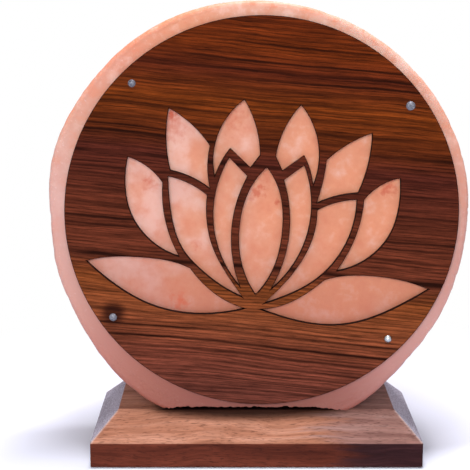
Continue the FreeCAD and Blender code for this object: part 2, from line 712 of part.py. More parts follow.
def centre_contact():
    """Springy strip that bears on the bulb's tip, with its leg at the left."""
    half = STRIP_THICKNESS / 2
    bed = core_top - CORE_POCKET_DEPTH + half
    tongue = [
        (-0.6 * BULB_TIP_RADIUS, contact_top - half), (0.6 * BULB_TIP_RADIUS, contact_top - half),
        (0.7 * CORE_POCKET_RADIUS, bed),
    ]
    return terminal_leg(-1, tongue + [(-STRIP_LEG_OFFSET, bed)])


def shell_terminal():
    """Strip that joins the contact shell's foot to its terminal, at the right."""
    return terminal_leg(1, [(STRIP_LEG_OFFSET, core_top)])


def terminal_screws():
    screw = flat_headed_screw(TERMINAL_SCREW_HEAD_RADIUS, TERMINAL_SCREW_HEAD_HEIGHT, TERMINAL_SCREW_RADIUS,
                              TERMINAL_SCREW_LENGTH)
    return at_bore(copies(screw, side_places(TERMINAL_OFFSET, terminal_height)))


def spring_collar():
    """Spring-steel band round the sleeve. Its two wings bend out from its lower edge."""
    collar = tube(collar_inner, collar_outer, collar_bottom, collar_top)
    rivet_height = (collar_top + collar_bottom) / 2
    reach = collar_outer + CUT_PAST
    hole = cylinder_back(RIVET_RADIUS + THREAD_FIT, -reach, reach, 0, rivet_height)
    return at_bore(collar.cut(hole))


def collar_rivets():
    """One rivet at the front and one at the back, each headed outside and inside the round sleeve."""
    seat = math.sqrt(sleeve_inner ** 2 - RIVET_HEAD_RADIUS ** 2)
    span = collar_outer - seat
    rivet = turned([
        (0, -RIVET_HEAD_HEIGHT), (RIVET_HEAD_RADIUS, -RIVET_HEAD_HEIGHT),
        (RIVET_HEAD_RADIUS, 0), (RIVET_RADIUS, 0), (RIVET_RADIUS, span), (RIVET_HEAD_RADIUS, span),
        (RIVET_HEAD_RADIUS, span + RIVET_HEAD_HEIGHT), (0, span + RIVET_HEAD_HEIGHT),
    ])
    rivet.rotate(ORIGIN, RIGHT, -90)
    rivet.translate(Vec(0, seat, (collar_top + collar_bottom) / 2))
    other = rivet.copy()
    other.rotate(ORIGIN, UP, 180)
    return at_bore(Part.makeCompound([rivet, other]))


def spring_wing(side):
    """Leaf that spreads from the collar to the bore's wall and turns in at its lower end."""
    root = collar_outer - WING_THICKNESS / 2
    reach = math.sqrt((BORE_RADIUS - WING_BORE_CLEARANCE) ** 2 - (WING_WIDTH / 2) ** 2) - WING_THICKNESS
    top = collar_bottom - WING_ROOT_GAP
    path = [(root, top), (reach, top - WING_LENGTH), (reach - WING_FOOT / 2, top - WING_LENGTH - WING_FOOT)]
    return at_bore(strip([(side * x, z) for x, z in path], WING_THICKNESS, WING_WIDTH))


# ---------------------------------------------------------------- bulb
def bulb_tip():
    """Domed end contact."""
    half = 0.5 * BULB_TIP_HEIGHT
    return at_bore(turned([
        (0, bulb_bottom), (0.6 * BULB_TIP_RADIUS, bulb_bottom), (BULB_TIP_RADIUS, bulb_bottom + half),
        (BULB_TIP_RADIUS, bulb_bottom + BULB_TIP_HEIGHT), (0, bulb_bottom + BULB_TIP_HEIGHT),
    ]))


def bulb_insulator():
    low = bulb_bottom + BULB_TIP_HEIGHT
    return at_bore(turned([
        (0, low), (1.1 * BULB_TIP_RADIUS, low),
        (BULB_INSULATOR_RADIUS, bulb_cap_bottom), (0, bulb_cap_bottom),
    ]))


def bulb_cap():
    """Screw cap, closed below down to a small hole over the insulator."""
    inner = BULB_CAP_RADIUS - BULB_CAP_WALL
    hole = 0.5 * BULB_INSULATOR_RADIUS
    floor = bulb_cap_bottom + BULB_CAP_WALL
    shoulder = BULB_CAP_RADIUS - BULB_INSULATOR_RADIUS
    return at_bore(turned([
        (hole, bulb_cap_bottom), (BULB_INSULATOR_RADIUS, bulb_cap_bottom),
        (BULB_CAP_RADIUS, bulb_cap_bottom + shoulder), (BULB_CAP_RADIUS, bulb_cap_top), (inner, bulb_cap_top),
        (inner, bulb_cap_bottom + shoulder + BULB_CAP_WALL), (BULB_INSULATOR_RADIUS, floor + BULB_CAP_WALL),
        (hole, floor),
    ]))


def shoulder_radius():
    """Of the hollow curve that leaves the neck upright at the cap's top and meets the globe smoothly."""
    rise = globe_height - bulb_cap_top
    return (neck_radius ** 2 + rise ** 2 - GLOBE_RADIUS ** 2) / (2 * (GLOBE_RADIUS - neck_radius))


def globe_profile(inset):
    """Neck, shoulder and round top as edges from the neck's end to the axis, drawn in by inset."""
    neck = neck_radius - inset
    globe = GLOBE_RADIUS - inset
    shoulder = shoulder_radius() + inset
    globe_centre = Vec(0, 0, globe_height)
    shoulder_centre = Vec(neck + shoulder, 0, bulb_cap_top)
    towards = shoulder_centre - globe_centre
    meeting = globe_centre + towards * (globe / towards.Length)
    neck_end = Vec(neck, 0, bulb_cap_top)
    bisector = ((neck_end - shoulder_centre) + (meeting - shoulder_centre)).normalize()
    return [
        line(Vec(neck, 0, neck_bottom), neck_end),
        Part.Arc(neck_end, shoulder_centre + bisector * shoulder, meeting).toShape(),
        Part.Arc(meeting, globe_centre + RIGHT * globe, globe_centre + UP * globe).toShape(),
    ]


def bulb_glass():
    """Blown glass, the same thickness all over, open at the neck's lower end."""
    crown = globe_height + GLOBE_RADIUS
    rim = line(Vec(neck_radius, 0, neck_bottom), Vec(neck_radius - GLASS_WALL, 0, neck_bottom))
    axis = line(Vec(0, 0, crown), Vec(0, 0, crown - GLASS_WALL))
    edges = globe_profile(0) + globe_profile(GLASS_WALL) + [rim, axis]
    wire = Part.Wire(Part.__sortEdges__(edges))
    return at_bore(Part.Face(wire).revolve(ORIGIN, UP, 360))


def bulb_stem():
    """Glass foot that closes the neck from below and holds the leads."""
    flare = neck_radius - GLASS_WALL - THREAD_FIT
    flare_top = neck_bottom + STEM_FLARE_THICKNESS
    top = neck_bottom + STEM_HEIGHT
    stem = turned([
        (0, neck_bottom), (flare, neck_bottom), (flare, flare_top), (STEM_RADIUS, flare_top + STEM_RADIUS),
        (STEM_RADIUS, top - STEM_RADIUS), (0.7 * STEM_RADIUS, top), (0, top),
    ])
    return at_bore(stem.cut(Part.makeCompound([lead(side, LEAD_RADIUS + THREAD_FIT) for side in (-1, 1)])))


def lead(side, radius):
    """Straight wire from inside the stem out to one end of the filament."""
    low = Vec(side * 0.4 * STEM_RADIUS, 0, neck_bottom + STEM_HEIGHT - LEAD_BITE)
    high = Vec(side * FILAMENT_HALF_SPAN, 0, bulb_cap_top + FILAMENT_HEIGHT)
    return Part.makeCylinder(radius, (high - low).Length, low, high - low)


def bulb_leads():
    return at_bore(Part.makeCompound([lead(side, LEAD_RADIUS) for side in (-1, 1)]))


def bulb_filament():
    """Fine wire in a shallow arch between the leads' ends."""
    end = FILAMENT_HALF_SPAN - LEAD_RADIUS - FILAMENT_END_GAP
    height = bulb_cap_top + FILAMENT_HEIGHT - LEAD_RADIUS
    left = Vec(-end, 0, height)
    arch = Part.Arc(left, Vec(0, 0, height + FILAMENT_SAG), Vec(end, 0, height)).toShape()
    start = arch.tangentAt(arch.FirstParameter)
    section = Part.Wire(Part.makeCircle(FILAMENT_RADIUS, left, start))
    return at_bore(Part.Wire(arch).makePipeShell([section], True, False))


NODES = {
    "wood_base": wood_base,
    "base_feet": base_feet,
    "salt_slab": salt_slab,
    "slab_screws": slab_screws,
    "slab_screw_washers": slab_screw_washers,
    "slab_screw_plugs": slab_screw_plugs,
    "lotus_panel": lotus_panel,
    "panel_screws": panel_screws,
    "panel_screw_plugs": panel_screw_plugs,
    "holder_shell": holder_shell,
    "holder_lower_cap": holder_lower_cap,
    "holder_cap_screws": holder_cap_screws,
    "cord_bush": cord_bush,
    "socket_core": socket_core,
    "contact_shell": contact_shell,
    "shell_terminal": shell_terminal,
    "centre_contact": centre_contact,
    "terminal_screws": terminal_screws,
    "spring_collar": spring_collar,
    "collar_rivets": collar_rivets,
    "spring_wing_left": lambda: spring_wing(-1),
    "spring_wing_right": lambda: spring_wing(1),
    "bulb_glass": bulb_glass,
    "bulb_cap": bulb_cap,
    "bulb_insulator": bulb_insulator,
    "bulb_tip": bulb_tip,
    "bulb_stem": bulb_stem,
    "bulb_leads": bulb_leads,
    "bulb_filament": bulb_filament,
}

os.makedirs("parts", exist_ok=True)
for name, make in NODES.items():
    make().exportStep(os.path.join("parts", name + ".step"))
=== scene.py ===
import math

import bmesh
import bpy
from mathutils import Matrix, Vector, noise


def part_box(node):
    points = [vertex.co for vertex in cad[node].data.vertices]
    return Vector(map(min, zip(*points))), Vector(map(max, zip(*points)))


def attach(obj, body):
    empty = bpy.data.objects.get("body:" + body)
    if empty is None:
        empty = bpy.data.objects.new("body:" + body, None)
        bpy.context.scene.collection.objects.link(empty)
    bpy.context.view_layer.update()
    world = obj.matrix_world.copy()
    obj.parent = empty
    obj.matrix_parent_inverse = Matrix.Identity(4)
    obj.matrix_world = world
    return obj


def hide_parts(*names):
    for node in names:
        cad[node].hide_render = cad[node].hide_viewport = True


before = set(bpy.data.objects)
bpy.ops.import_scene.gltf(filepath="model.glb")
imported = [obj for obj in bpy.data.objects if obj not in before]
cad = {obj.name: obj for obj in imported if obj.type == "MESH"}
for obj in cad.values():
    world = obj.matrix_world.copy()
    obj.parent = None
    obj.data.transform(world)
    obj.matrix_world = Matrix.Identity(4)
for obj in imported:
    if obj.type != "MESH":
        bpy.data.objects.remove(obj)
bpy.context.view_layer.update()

# ---------------------------------------------------------------- camera
# A long lens a little above the lamp, tipped down by eleven degrees, square to the panel.
lens = bpy.data.cameras.new("camera")
lens.sensor_width = 36.0
lens.lens = 96.51
camera = bpy.data.objects.new("camera", lens)
camera.location = (-0.0117, -0.6940, 0.2531)
camera.rotation_euler = (math.radians(90 - 10.794), 0, 0)
bpy.context.scene.collection.objects.link(camera)
bpy.context.scene.camera = camera


# ---------------------------------------------------------------- wooden base
# One block of open-pored brown hardwood, its grain along the length. All four top edges are sawn to wide
# bevels, sanded and left nearly dry; only the upright band below was rubbed with dark wax. The paler bevels and
# darker band are partly that and partly painted light and shade, by which way each face looks.
def linear(code):
    """A colour written as sRGB hex, as the linear values that shaders take."""
    channels = [int(code[i:i + 2], 16) / 255 for i in (1, 3, 5)]
    return [c / 12.92 if c <= 0.04045 else ((c + 0.055) / 1.055) ** 2.4 for c in channels] + [1.0]


def start(name):
    """A new material, and its empty tree."""
    material = bpy.data.materials.new(name)
    material.use_nodes = True
    material.node_tree.nodes.clear()
    return material, material.node_tree


def add(tree, kind, inputs=None, stops=None, **settings):
    """A new node with its settings. An input takes a value, an output, or a node for its first output."""
    node = tree.nodes.new("ShaderNode" + kind)
    for name, value in settings.items():
        setattr(node, name, value)
    for socket, value in (inputs or {}).items():
        if isinstance(value, bpy.types.Node):
            value = value.outputs[0]
        if isinstance(value, bpy.types.NodeSocket):
            tree.links.new(value, node.inputs[socket])
        else:
            node.inputs[socket].default_value = value
    if stops:
        elements = node.color_ramp.elements
        while len(elements) < len(stops):
            elements.new(1.0)
        for element, (place, shade) in zip(elements, stops):
            element.position = place
            element.color = linear(shade) if isinstance(shade, str) else [shade, shade, shade, 1.0]
    return node


def surface(tree, inputs):
    """Close a material with the Principled shader, given its inputs."""
    add(tree, "OutputMaterial", {"Surface": add(tree, "BsdfPrincipled", inputs)})


# Sawn hardwood: long fibres, short open pores as dark dashes, and a dry matt face that is painted paler on the
# bevels, partly for the sanding and partly as painted light.
BASE_TOP = 28.4                                  # all in mm, from the middle of the table under the base
BASE_ENDS, BASE_FACES = 90.3, 45.0               # half the block's width and depth
TOP_ENDS, TOP_FACES = 76.0, 28.3                 # half of its top between the bevels
SEAT_MIDDLE = -5.0                               # middle of the stretch that the slab stands on
hardwood, tree = start("sanded_open_pored_hardwood")
place = add(tree, "TexCoord").outputs["Object"]
mm = add(tree, "Mapping", {"Vector": place, "Scale": (1000, 1000, 1000)})
wander = add(tree, "TexNoise", {"Vector": mm, "Scale": 0.014, "Detail": 2.0})
bent = add(tree, "VectorMath", {0: wander.outputs["Color"], 1: (0, 14, 14), 2: mm}, operation="MULTIPLY_ADD")
# growth bands about 6 mm apart, drawn out along x
growth = add(tree, "Mapping", {"Vector": bent, "Scale": (0.006, 0.17, 0.17)})
bands = add(tree, "TexNoise", {"Vector": growth, "Scale": 1.0, "Detail": 4.0, "Roughness": 0.6})
# fibres about 0.8 mm apart
along = add(tree, "Mapping", {"Vector": bent, "Scale": (0.05, 1.25, 1.25)})
fibres = add(tree, "TexNoise", {"Vector": along, "Scale": 1.0, "Detail": 4.0, "Roughness": 0.65})
# pores 0.5 mm wide and 4 mm long
dashes = add(tree, "Mapping", {"Vector": bent, "Scale": (0.22, 1.9, 1.9)})
pores = add(tree, "TexNoise", {"Vector": dashes, "Scale": 1.0, "Detail": 2.0})
pore_mask = add(tree, "ValToRGB", {"Fac": pores}, [(0.56, 0.0), (0.68, 1.0)])
# a darker, plum streak of heartwood fills the right-hand third
wood_axes = add(tree, "SeparateXYZ", {"Vector": mm})
wood_x, wood_y, wood_z = (wood_axes.outputs[axis] for axis in "XYZ")
ragged = add(tree, "MapRange", {0: bands, 1: 0.35, 2: 0.65, 3: -16.0, 4: 16.0})
lean = add(tree, "MapRange", {0: wood_z, 1: 0.7, 2: 14.3, 3: -18.0, 4: 0.0})
wavy = add(tree, "Math", {0: wood_x, 1: ragged}, operation="ADD")
heart_line = add(tree, "Math", {0: wavy, 1: lean}, operation="ADD")
heart = add(tree, "MapRange", {0: heart_line, 1: 26.0, 2: 50.0, 3: 0.0, 4: 1.0}, interpolation_type="SMOOTHSTEP")
band_sap = add(tree, "ValToRGB", {"Fac": bands}, [(0.32, "#4B2117"), (0.50, "#622E20"), (0.68, "#743A2A")])
band_heart = add(tree, "ValToRGB", {"Fac": bands}, [(0.32, "#241214"), (0.50, "#361D1F"), (0.68, "#4C2B2A")])
bevel_sap = add(tree, "ValToRGB", {"Fac": bands}, [(0.32, "#8F5A43"), (0.50, "#AD745A"), (0.68, "#C68F76")])
bevel_heart = add(tree, "ValToRGB", {"Fac": bands}, [(0.32, "#79534B"), (0.50, "#926A60"), (0.68, "#AC877D")])
band = add(tree, "MixRGB", {0: heart, 1: band_sap, 2: band_heart})
bevel = add(tree, "MixRGB", {0: heart, 1: bevel_sap, 2: bevel_heart})
# painted light and shade, in part: faces that look up take the pale bevel colours, upright faces the dark band
# colours
facing = add(tree, "SeparateXYZ", {"Vector": add(tree, "NewGeometry").outputs["Normal"]})
upward = add(tree, "MapRange", {0: facing.outputs["Z"], 1: 0.15, 2: 0.6})
faced_painted_light = add(tree, "MixRGB", {0: upward, 1: band, 2: bevel})
# the end bevels are painted a dusty grey-lavender over their end grain: a painted sheen of the pale room
sideways = add(tree, "Math", {0: facing.outputs["X"]}, operation="ABSOLUTE")
endways = add(tree, "MapRange", {0: sideways, 1: 0.35, 2: 0.6})
end_grain_painted_sheen = add(tree, "ValToRGB", {"Fac": fibres}, [(0.32, "#8A7C86"), (0.50, "#B0A6B2"), (0.68, "#D0CBD6")])
end_sheened = add(tree, "MixRGB", {0: add(tree, "Math", {0: endways, 1: upward}, operation="MULTIPLY"),
                             1: faced_painted_light, 2: end_grain_painted_sheen})
# painted shade: the seat of the slab is painted near black, so a dark line shows under the slab's worn front
# edge, where the gap is in shade
seat_back = add(tree, "MapRange", {0: wood_y, 1: -30.0, 2: -28.8})
seat_top = add(tree, "MapRange", {0: wood_z, 1: 27.6, 2: 28.1})
off_middle = add(tree, "Math", {0: wood_x, 1: -SEAT_MIDDLE}, operation="ADD")
seat_wide = add(tree, "MapRange", {0: add(tree, "Math", {0: off_middle}, operation="ABSOLUTE"), 1: 54.0, 2: 46.0})
seat = add(tree, "Math", {0: add(tree, "Math", {0: seat_back, 1: seat_top}, operation="MULTIPLY"), 1: seat_wide},
           operation="MULTIPLY")
seat_painted_shaded = add(tree, "MixRGB", {0: seat, 1: end_sheened, 2: linear("#0E0403")})
# painted shadow: a dark crescent down the front bevel, 3 mm deep in the middle, where the slab and panel above
# shade it
side_share = add(tree, "Math", {0: off_middle, 1: 58.0}, operation="DIVIDE")
bow = add(tree, "Math", {0: side_share, 1: side_share}, operation="MULTIPLY")
above_top = add(tree, "Math", {0: wood_z, 1: BASE_TOP}, operation="SUBTRACT")
crescent = add(tree, "Math", {0: bow, 1: -3.6, 2: above_top}, operation="MULTIPLY_ADD")
shadow_reach = add(tree, "MapRange", {0: crescent, 1: -6.5, 2: -1.6}, interpolation_type="SMOOTHSTEP")
forward = add(tree, "MapRange", {0: wood_y, 1: -28.2, 2: -28.6})
near_middle = add(tree, "MapRange", {0: bow, 1: 1.0, 2: 0.6})
crescent_shadow = add(tree, "Math", {0: add(tree, "Math", {0: shadow_reach, 1: forward}, operation="MULTIPLY"), 1: near_middle},
            operation="MULTIPLY")
crescent_shadowed = add(tree, "MixRGB", {0: add(tree, "Math", {0: crescent_shadow, 1: 0.93}, operation="MULTIPLY"),
                               1: seat_painted_shaded, 2: linear("#200C08")})
# handling has worn the corners between the bevels to bare pale wood
depth_share = add(tree, "MapRange", {0: add(tree, "Math", {0: wood_y}, operation="ABSOLUTE"),
                                     1: BASE_FACES, 2: TOP_FACES, 3: 0.0, 4: 15.0}, clamp=False)
end_share = add(tree, "MapRange", {0: add(tree, "Math", {0: wood_x}, operation="ABSOLUTE"),
                                   1: BASE_ENDS, 2: TOP_ENDS, 3: 0.0, 4: 15.0}, clamp=False)
off_corner = add(tree, "Math", {0: add(tree, "Math", {0: depth_share, 1: end_share}, operation="SUBTRACT")},
                 operation="ABSOLUTE")
below_top = add(tree, "MapRange", {0: above_top, 1: -0.3, 2: -1.0, 3: 0.0, 4: 0.6})
corner_line = add(tree, "MapRange", {0: off_corner, 1: 1.3, 2: 0.3})
worn_line = add(tree, "Math", {0: corner_line, 1: below_top}, operation="MULTIPLY")
tone = add(tree, "MixRGB", {0: add(tree, "Math", {0: worn_line, 1: upward}, operation="MULTIPLY"),
                            1: crescent_shadowed, 2: linear("#CBB5AE")})
fibre_light = add(tree, "MapRange", {0: fibres, 1: 0.3, 2: 0.7, 3: 0.78, 4: 1.2})
fibred = add(tree, "MixRGB", {0: 1.0, 1: tone, 2: fibre_light}, blend_type="MULTIPLY")
pored = add(tree, "MixRGB", {0: add(tree, "Math", {0: pore_mask, 1: 0.5}, operation="MULTIPLY"),
                             1: fibred, 2: linear("#2E1410")})
hollow = add(tree, "Math", {0: fibres, 1: pore_mask}, operation="SUBTRACT")
bump = add(tree, "Bump", {"Height": hollow, "Strength": 0.35, "Distance": 0.0003})
shine = add(tree, "MapRange", {0: fibres, 3: 0.5, 4: 0.66})
surface(tree, {
    "Base Color": pored, "Roughness": shine, "Normal": bump, "Specular IOR Level": 0.06,
})


def dress(node, material):
    """Give a CAD node its finish."""
    for held in cad[node].material_slots:
        held.material = material


dress("wood_base", hardwood)

# ---------------------------------------------------------------- feet
# Four round pads of black rubber, pressed into shallow holes under the base. Only a dark line of them shows.
# Moulded rubber: almost black and matt, with a fine grit that takes away any glint.
rubber, tree = start("moulded_black_rubber")
place = add(tree, "TexCoord").outputs["Object"]
grit = add(tree, "TexNoise", {"Vector": place, "Scale": 900.0, "Detail": 3.0})
shade = add(tree, "ValToRGB", {"Fac": grit}, [(0.3, "#141314"), (0.7, "#232122")])
bump = add(tree, "Bump", {"Height": grit, "Strength": 0.3, "Distance": 0.0002})
surface(tree, {
    "Base Color": shade, "Roughness": 0.82, "Normal": bump,
})
dress("base_feet", rubber)

# ---------------------------------------------------------------- salt slab
# A round slice of pink rock salt. Its face is ground flat and waxy, its rim is sawn and a little chipped, and
# its back is left rough. The lower end is cut off flat to stand on the base.
PANEL_CENTRE = Vector((0.00245, 0.0, 0.1379))
PANEL_TURN = math.radians(4.9)
PANEL_RADIUS = 0.1049
CHAMFER = 0.0012         # broken front edge of the slab
BACK_SLOPE = 0.015       # the rim falls away to the back over this depth
FOOT_WEAR = 0.0019       # how far the front of the foot is worn up, in the middle of its worn stretch
FOOT_MIDDLE, FOOT_HALF = -0.005, 0.052
BORE_RADIUS, BORE_TOP, BORE_DEPTH = 0.019, 0.1254, 0.1087
AROUND = 720             # steps round the slab, a millimetre apart at the rim
SIDE_ROWS = 20           # rows of faces from the front edge to the back slope
salt_low, salt_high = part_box("salt_slab")


def rim_radii():
    """The slab's own outline, as a radius for each step round the panel's centre. Its flat end is left round."""
    edge = []
    for vertex in cad["salt_slab"].data.vertices:
        flat = vertex.co - PANEL_CENTRE
        reach = math.hypot(flat.x, flat.z)
        if abs(vertex.co.y - salt_low.y - CHAMFER) < 0.00002 and reach > 0.1:
            edge.append((math.atan2(flat.z, flat.x), reach))
    edge.sort()
    edge = [(edge[-1][0] - math.tau, edge[-1][1])] + edge + [(edge[0][0] + math.tau, edge[0][1])]
    radii = []
    index = 0
    for step in range(AROUND):
        angle = -math.pi + math.tau * step / AROUND
        while edge[index + 1][0] < angle:
            index += 1
        (a0, r0), (a1, r1) = edge[index], edge[index + 1]
        radii.append(r0 + (r1 - r0) * (angle - a0) / (a1 - a0))
    return radii


def worn(point, size, seed):
    """Smooth random height, about -1 to 1, with lumps of a given size in metres."""
    return noise.fractal(point / size + Vector((seed, seed, seed)), 1.0, 2.0, 3)


def salt_point(angle, radius, y, roughness):
    """A point of the slab's skin: chipped at the rim, lumpy behind it and never below the base's top."""
    point = PANEL_CENTRE + Vector((math.cos(angle) * radius, y, math.sin(angle) * radius))
    lump = 0.0013 * worn(point, 0.018, 3.1) + 0.0005 * worn(point, 0.005, 8.7)
    chip = max(0.0, worn(point, 0.006, 5.3) - 0.35) * 0.002
    point -= Vector((math.cos(angle), 0, math.sin(angle))) * roughness * (chip + abs(lump))
    nibble = abs(worn(Vector((point.x, y * 0.5, 0)), 0.0035, 1.9)) * 0.0018
    along = max(0.0, 1 - ((point.x - FOOT_MIDDLE) / FOOT_HALF) ** 2)
    inward = max(0.0, 1 - (y - salt_low.y) / 0.016)
    nibble *= max(0.0, 1 - (y - salt_low.y) / 0.003)
    point.z = max(point.z, salt_low.z + nibble + FOOT_WEAR * min(1.0, 2 * along) * inward)
    return point


# rows of the skin from the middle of the face, out over the rim and in again over the back:
# how far in from the outline, as a share of it, the depth, and how rough it is there
rim = rim_radii()
rows = [(share, salt_low.y, 0.0) for share in (0.0, 0.3, 0.6, 0.8, 0.9, 0.94, 0.96, 0.975)]
rows += [(1 - CHAMFER / PANEL_RADIUS * part, salt_low.y + CHAMFER * (1 - part), 0.35) for part in (1.0, 0.5, 0.0)]
side_depth = salt_high.y - BACK_SLOPE - salt_low.y - CHAMFER
rows += [(1.0, salt_low.y + CHAMFER + side_depth * k / SIDE_ROWS, 0.35 + 0.65 * k / SIDE_ROWS)
         for k in range(1, SIDE_ROWS + 1)]
rows += [(share, salt_high.y - BACK_SLOPE * left, roughness) for share, left, roughness in (
    (0.993, 0.77, 1.2), (0.978, 0.47, 1.4), (0.96, 0.23, 1.5), (0.933, 0.04, 1.5))]
rows += [(share, salt_high.y - 0.0003, 1.0) for share in (0.9, 0.84, 0.76, 0.66, 0.54, 0.4, 0.26, 0.12, 0.0)]

skin = bmesh.new()
grid = []
for share, y, roughness in rows:
    ring = []
    for step in range(AROUND):
        angle = -math.pi + math.tau * step / AROUND
        point = salt_point(angle, rim[step] * share, y, roughness)
        if share < 0.95 and y > 0:
            point.y -= 0.0012 * abs(worn(point, 0.02, 6.6)) + 0.0005 * abs(worn(point, 0.006, 2.2))
        ring.append(skin.verts.new(point))
    grid.append(ring)
for inner, outer in zip(grid, grid[1:]):
    for step in range(AROUND):
        after = (step + 1) % AROUND
        skin.faces.new((inner[step], outer[step], outer[after], inner[after]))
bmesh.ops.remove_doubles(skin, verts=skin.verts, dist=0.00001)
bmesh.ops.recalc_face_normals(skin, faces=skin.faces)


def piece(name, mesh_in_hand, material, body, smooth=35.0):
    """An object from a bmesh, shaded smooth up to an angle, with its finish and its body."""
    mesh = bpy.data.meshes.new(name)
    mesh_in_hand.to_mesh(mesh)
    mesh_in_hand.free()
    mesh.shade_smooth()
    mesh.set_sharp_from_angle(angle=math.radians(smooth))
    mesh.materials.append(material)
    made = bpy.data.objects.new(name, mesh)
    bpy.context.scene.collection.objects.link(made)
    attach(made, body)
    return made


def settle(made, smooth=35.0):
    """Turn an object's modifiers into its mesh."""
    bpy.context.view_layer.update()
    graph = bpy.context.evaluated_depsgraph_get()
    mesh = bpy.data.meshes.new_from_object(made.evaluated_get(graph))
    mesh.set_sharp_from_angle(angle=math.radians(smooth))
    made.modifiers.clear()
    made.data = mesh
    return made


# Rock salt: pale pink to orange, cloudy and waxy, with rust in its veins, red specks and clear crystals at
# the sawn rim. Light goes a few millimetres in, which softens every tone.
salt, tree = start("ground_pink_rock_salt")
place = add(tree, "TexCoord").outputs["Object"]
panel_mm = add(tree, "Mapping", {"Vector": place, "Location": PANEL_CENTRE, "Rotation": (0, PANEL_TURN, 0),
                                 "Scale": (0.001, 0.001, 0.001)}, vector_type="TEXTURE")
axes = add(tree, "SeparateXYZ", {"Vector": panel_mm})
clouds = add(tree, "TexNoise", {"Vector": panel_mm, "Scale": 0.028, "Detail": 3.0, "Roughness": 0.5})
mottle = add(tree, "TexNoise", {"Vector": panel_mm, "Scale": 0.11, "Detail": 4.0, "Roughness": 0.6})
rightward = add(tree, "MapRange", {0: axes.outputs["X"], 1: -75.0, 2: 25.0, 3: -0.35, 4: 0.35})
shift = add(tree, "MapRange", {0: clouds, 1: 0.3, 2: 0.7, 3: 0.15, 4: 0.85})
hue_place = add(tree, "Math", {0: rightward, 1: shift}, operation="ADD")
hue = add(tree, "ValToRGB", {"Fac": hue_place}, [(0.15, "#DCA593"), (0.5, "#D7906F"), (0.85, "#DA8D67")])
mottled = add(tree, "MixRGB", {
    0: add(tree, "MapRange", {0: mottle, 1: 0.48, 2: 0.75, 3: 0.0, 4: 0.7}),
    1: hue, 2: linear("#CF7856")})
paled = add(tree, "MixRGB", {
    0: add(tree, "MapRange", {0: mottle, 1: 0.48, 2: 0.22, 3: 0.0, 4: 0.75}),
    1: mottled, 2: linear("#E2B3A2")})
# the foot of the slab is darker and redder, partly the salt's own colour and partly painted shade
low_down = add(tree, "MapRange", {0: axes.outputs["Z"], 1: 5.0, 2: -95.0}, interpolation_type="SMOOTHSTEP")
reddened_and_shaded = add(tree, "MixRGB", {0: add(tree, "Math", {0: low_down, 1: 0.85}, operation="MULTIPLY"),
                                1: paled, 2: linear("#A3543F")})
# rust stains that show through the petals: how far right and up, how far they spread, and how strong they are
STAINS = (
    (-52.0, 49.0, 4.0, 1.0), (-61.0, 12.0, 5.0, 0.55), (-4.0, 12.0, 6.0, 0.7), (7.5, 7.5, 2.2, 0.8),
    (65.0, 20.0, 5.5, 0.8), (-33.0, -20.0, 3.0, 0.6), (-40.0, -51.0, 6.0, 0.7), (55.0, -28.5, 2.5, 0.5),
    (36.0, -30.0, 2.0, 0.5), (-22.0, 52.0, 12.0, 0.45), (-52.0, 44.0, 12.0, 0.45), (0.0, 22.0, 9.0, 0.35),
)
stained = reddened_and_shaded
blotches = add(tree, "MapRange", {0: add(tree, "TexNoise", {"Vector": panel_mm, "Scale": 0.32, "Detail": 3.0}),
                                  1: 0.35, 2: 0.65, 3: -0.55, 4: 0.55})
for right, up, spread, strength in STAINS:
    middle = (right, 1000 * salt_low.y, up)
    away = add(tree, "VectorMath", {0: panel_mm, 1: middle}, operation="DISTANCE").outputs["Value"]
    near = add(tree, "MapRange", {0: away, 1: spread * 1.5, 2: 0.0, 3: -0.7, 4: 1.0})
    torn = add(tree, "Math", {0: near, 1: blotches}, operation="ADD", use_clamp=True)
    amount = add(tree, "Math", {0: torn, 1: strength}, operation="MULTIPLY")
    stained = add(tree, "MixRGB", {0: amount, 1: stained, 2: linear("#C4532F")})
# the rim's tones, going round from the left, through the foot and the right, to the crown and back; the dark
# tones at the foot are partly the salt's own and partly painted shade
reach = add(tree, "VectorMath", {0: add(tree, "CombineXYZ", {"X": axes.outputs["X"], "Z": axes.outputs["Z"]})},
            operation="LENGTH").outputs["Value"]
bearing = add(tree, "Math", {0: axes.outputs["Z"], 1: axes.outputs["X"]}, operation="ARCTAN2")
turn = add(tree, "MapRange", {0: bearing, 1: -math.pi, 2: math.pi})
rim_tone = add(tree, "ValToRGB", {"Fac": turn}, [
    (0.0, "#CF9E92"), (0.08, "#CA9486"), (0.125, "#B97A6C"), (0.167, "#A2604F"), (0.21, "#8C4C3F"),
    (0.25, "#7E4438"), (0.30, "#84493C"), (0.335, "#9A5E53"), (0.375, "#BC857C"), (0.42, "#CA968C"),
    (0.5, "#C58E80"), (0.58, "#D2957D"), (0.66, "#DDAE9B"), (0.75, "#DDA48C"), (0.82, "#DA8F6A"),
    (0.88, "#D4876A"), (0.94, "#D09882"), (1.0, "#CF9E92"),
])
rim_zone = add(tree, "MapRange", {0: reach, 1: 99.0, 2: 105.0})
# the crown of the rim is patched with white and burnt orange, 10 to 20 mm across
patches = add(tree, "TexNoise", {"Vector": panel_mm, "Scale": 0.09, "Detail": 4.0, "Roughness": 0.65})
crown = add(tree, "MapRange", {0: axes.outputs["Z"], 1: -40.0, 2: 100.0})
white_patch = add(tree, "MapRange", {0: patches, 1: 0.52, 2: 0.7, 3: 0.0, 4: 0.55})
orange_patch = add(tree, "MapRange", {0: patches, 1: 0.5, 2: 0.36, 3: 0.0, 4: 0.7})
rim_pale = add(tree, "MixRGB", {0: add(tree, "Math", {0: white_patch, 1: crown}, operation="MULTIPLY"),
                                1: rim_tone, 2: linear("#F1CDBF")})
rim_patched = add(tree, "MixRGB", {0: add(tree, "Math", {0: orange_patch, 1: crown}, operation="MULTIPLY"),
                                   1: rim_pale, 2: linear("#D77E57")})
rimmed = add(tree, "MixRGB", {0: add(tree, "Math", {0: rim_zone, 1: 0.9}, operation="MULTIPLY"),
                              1: stained, 2: rim_patched})
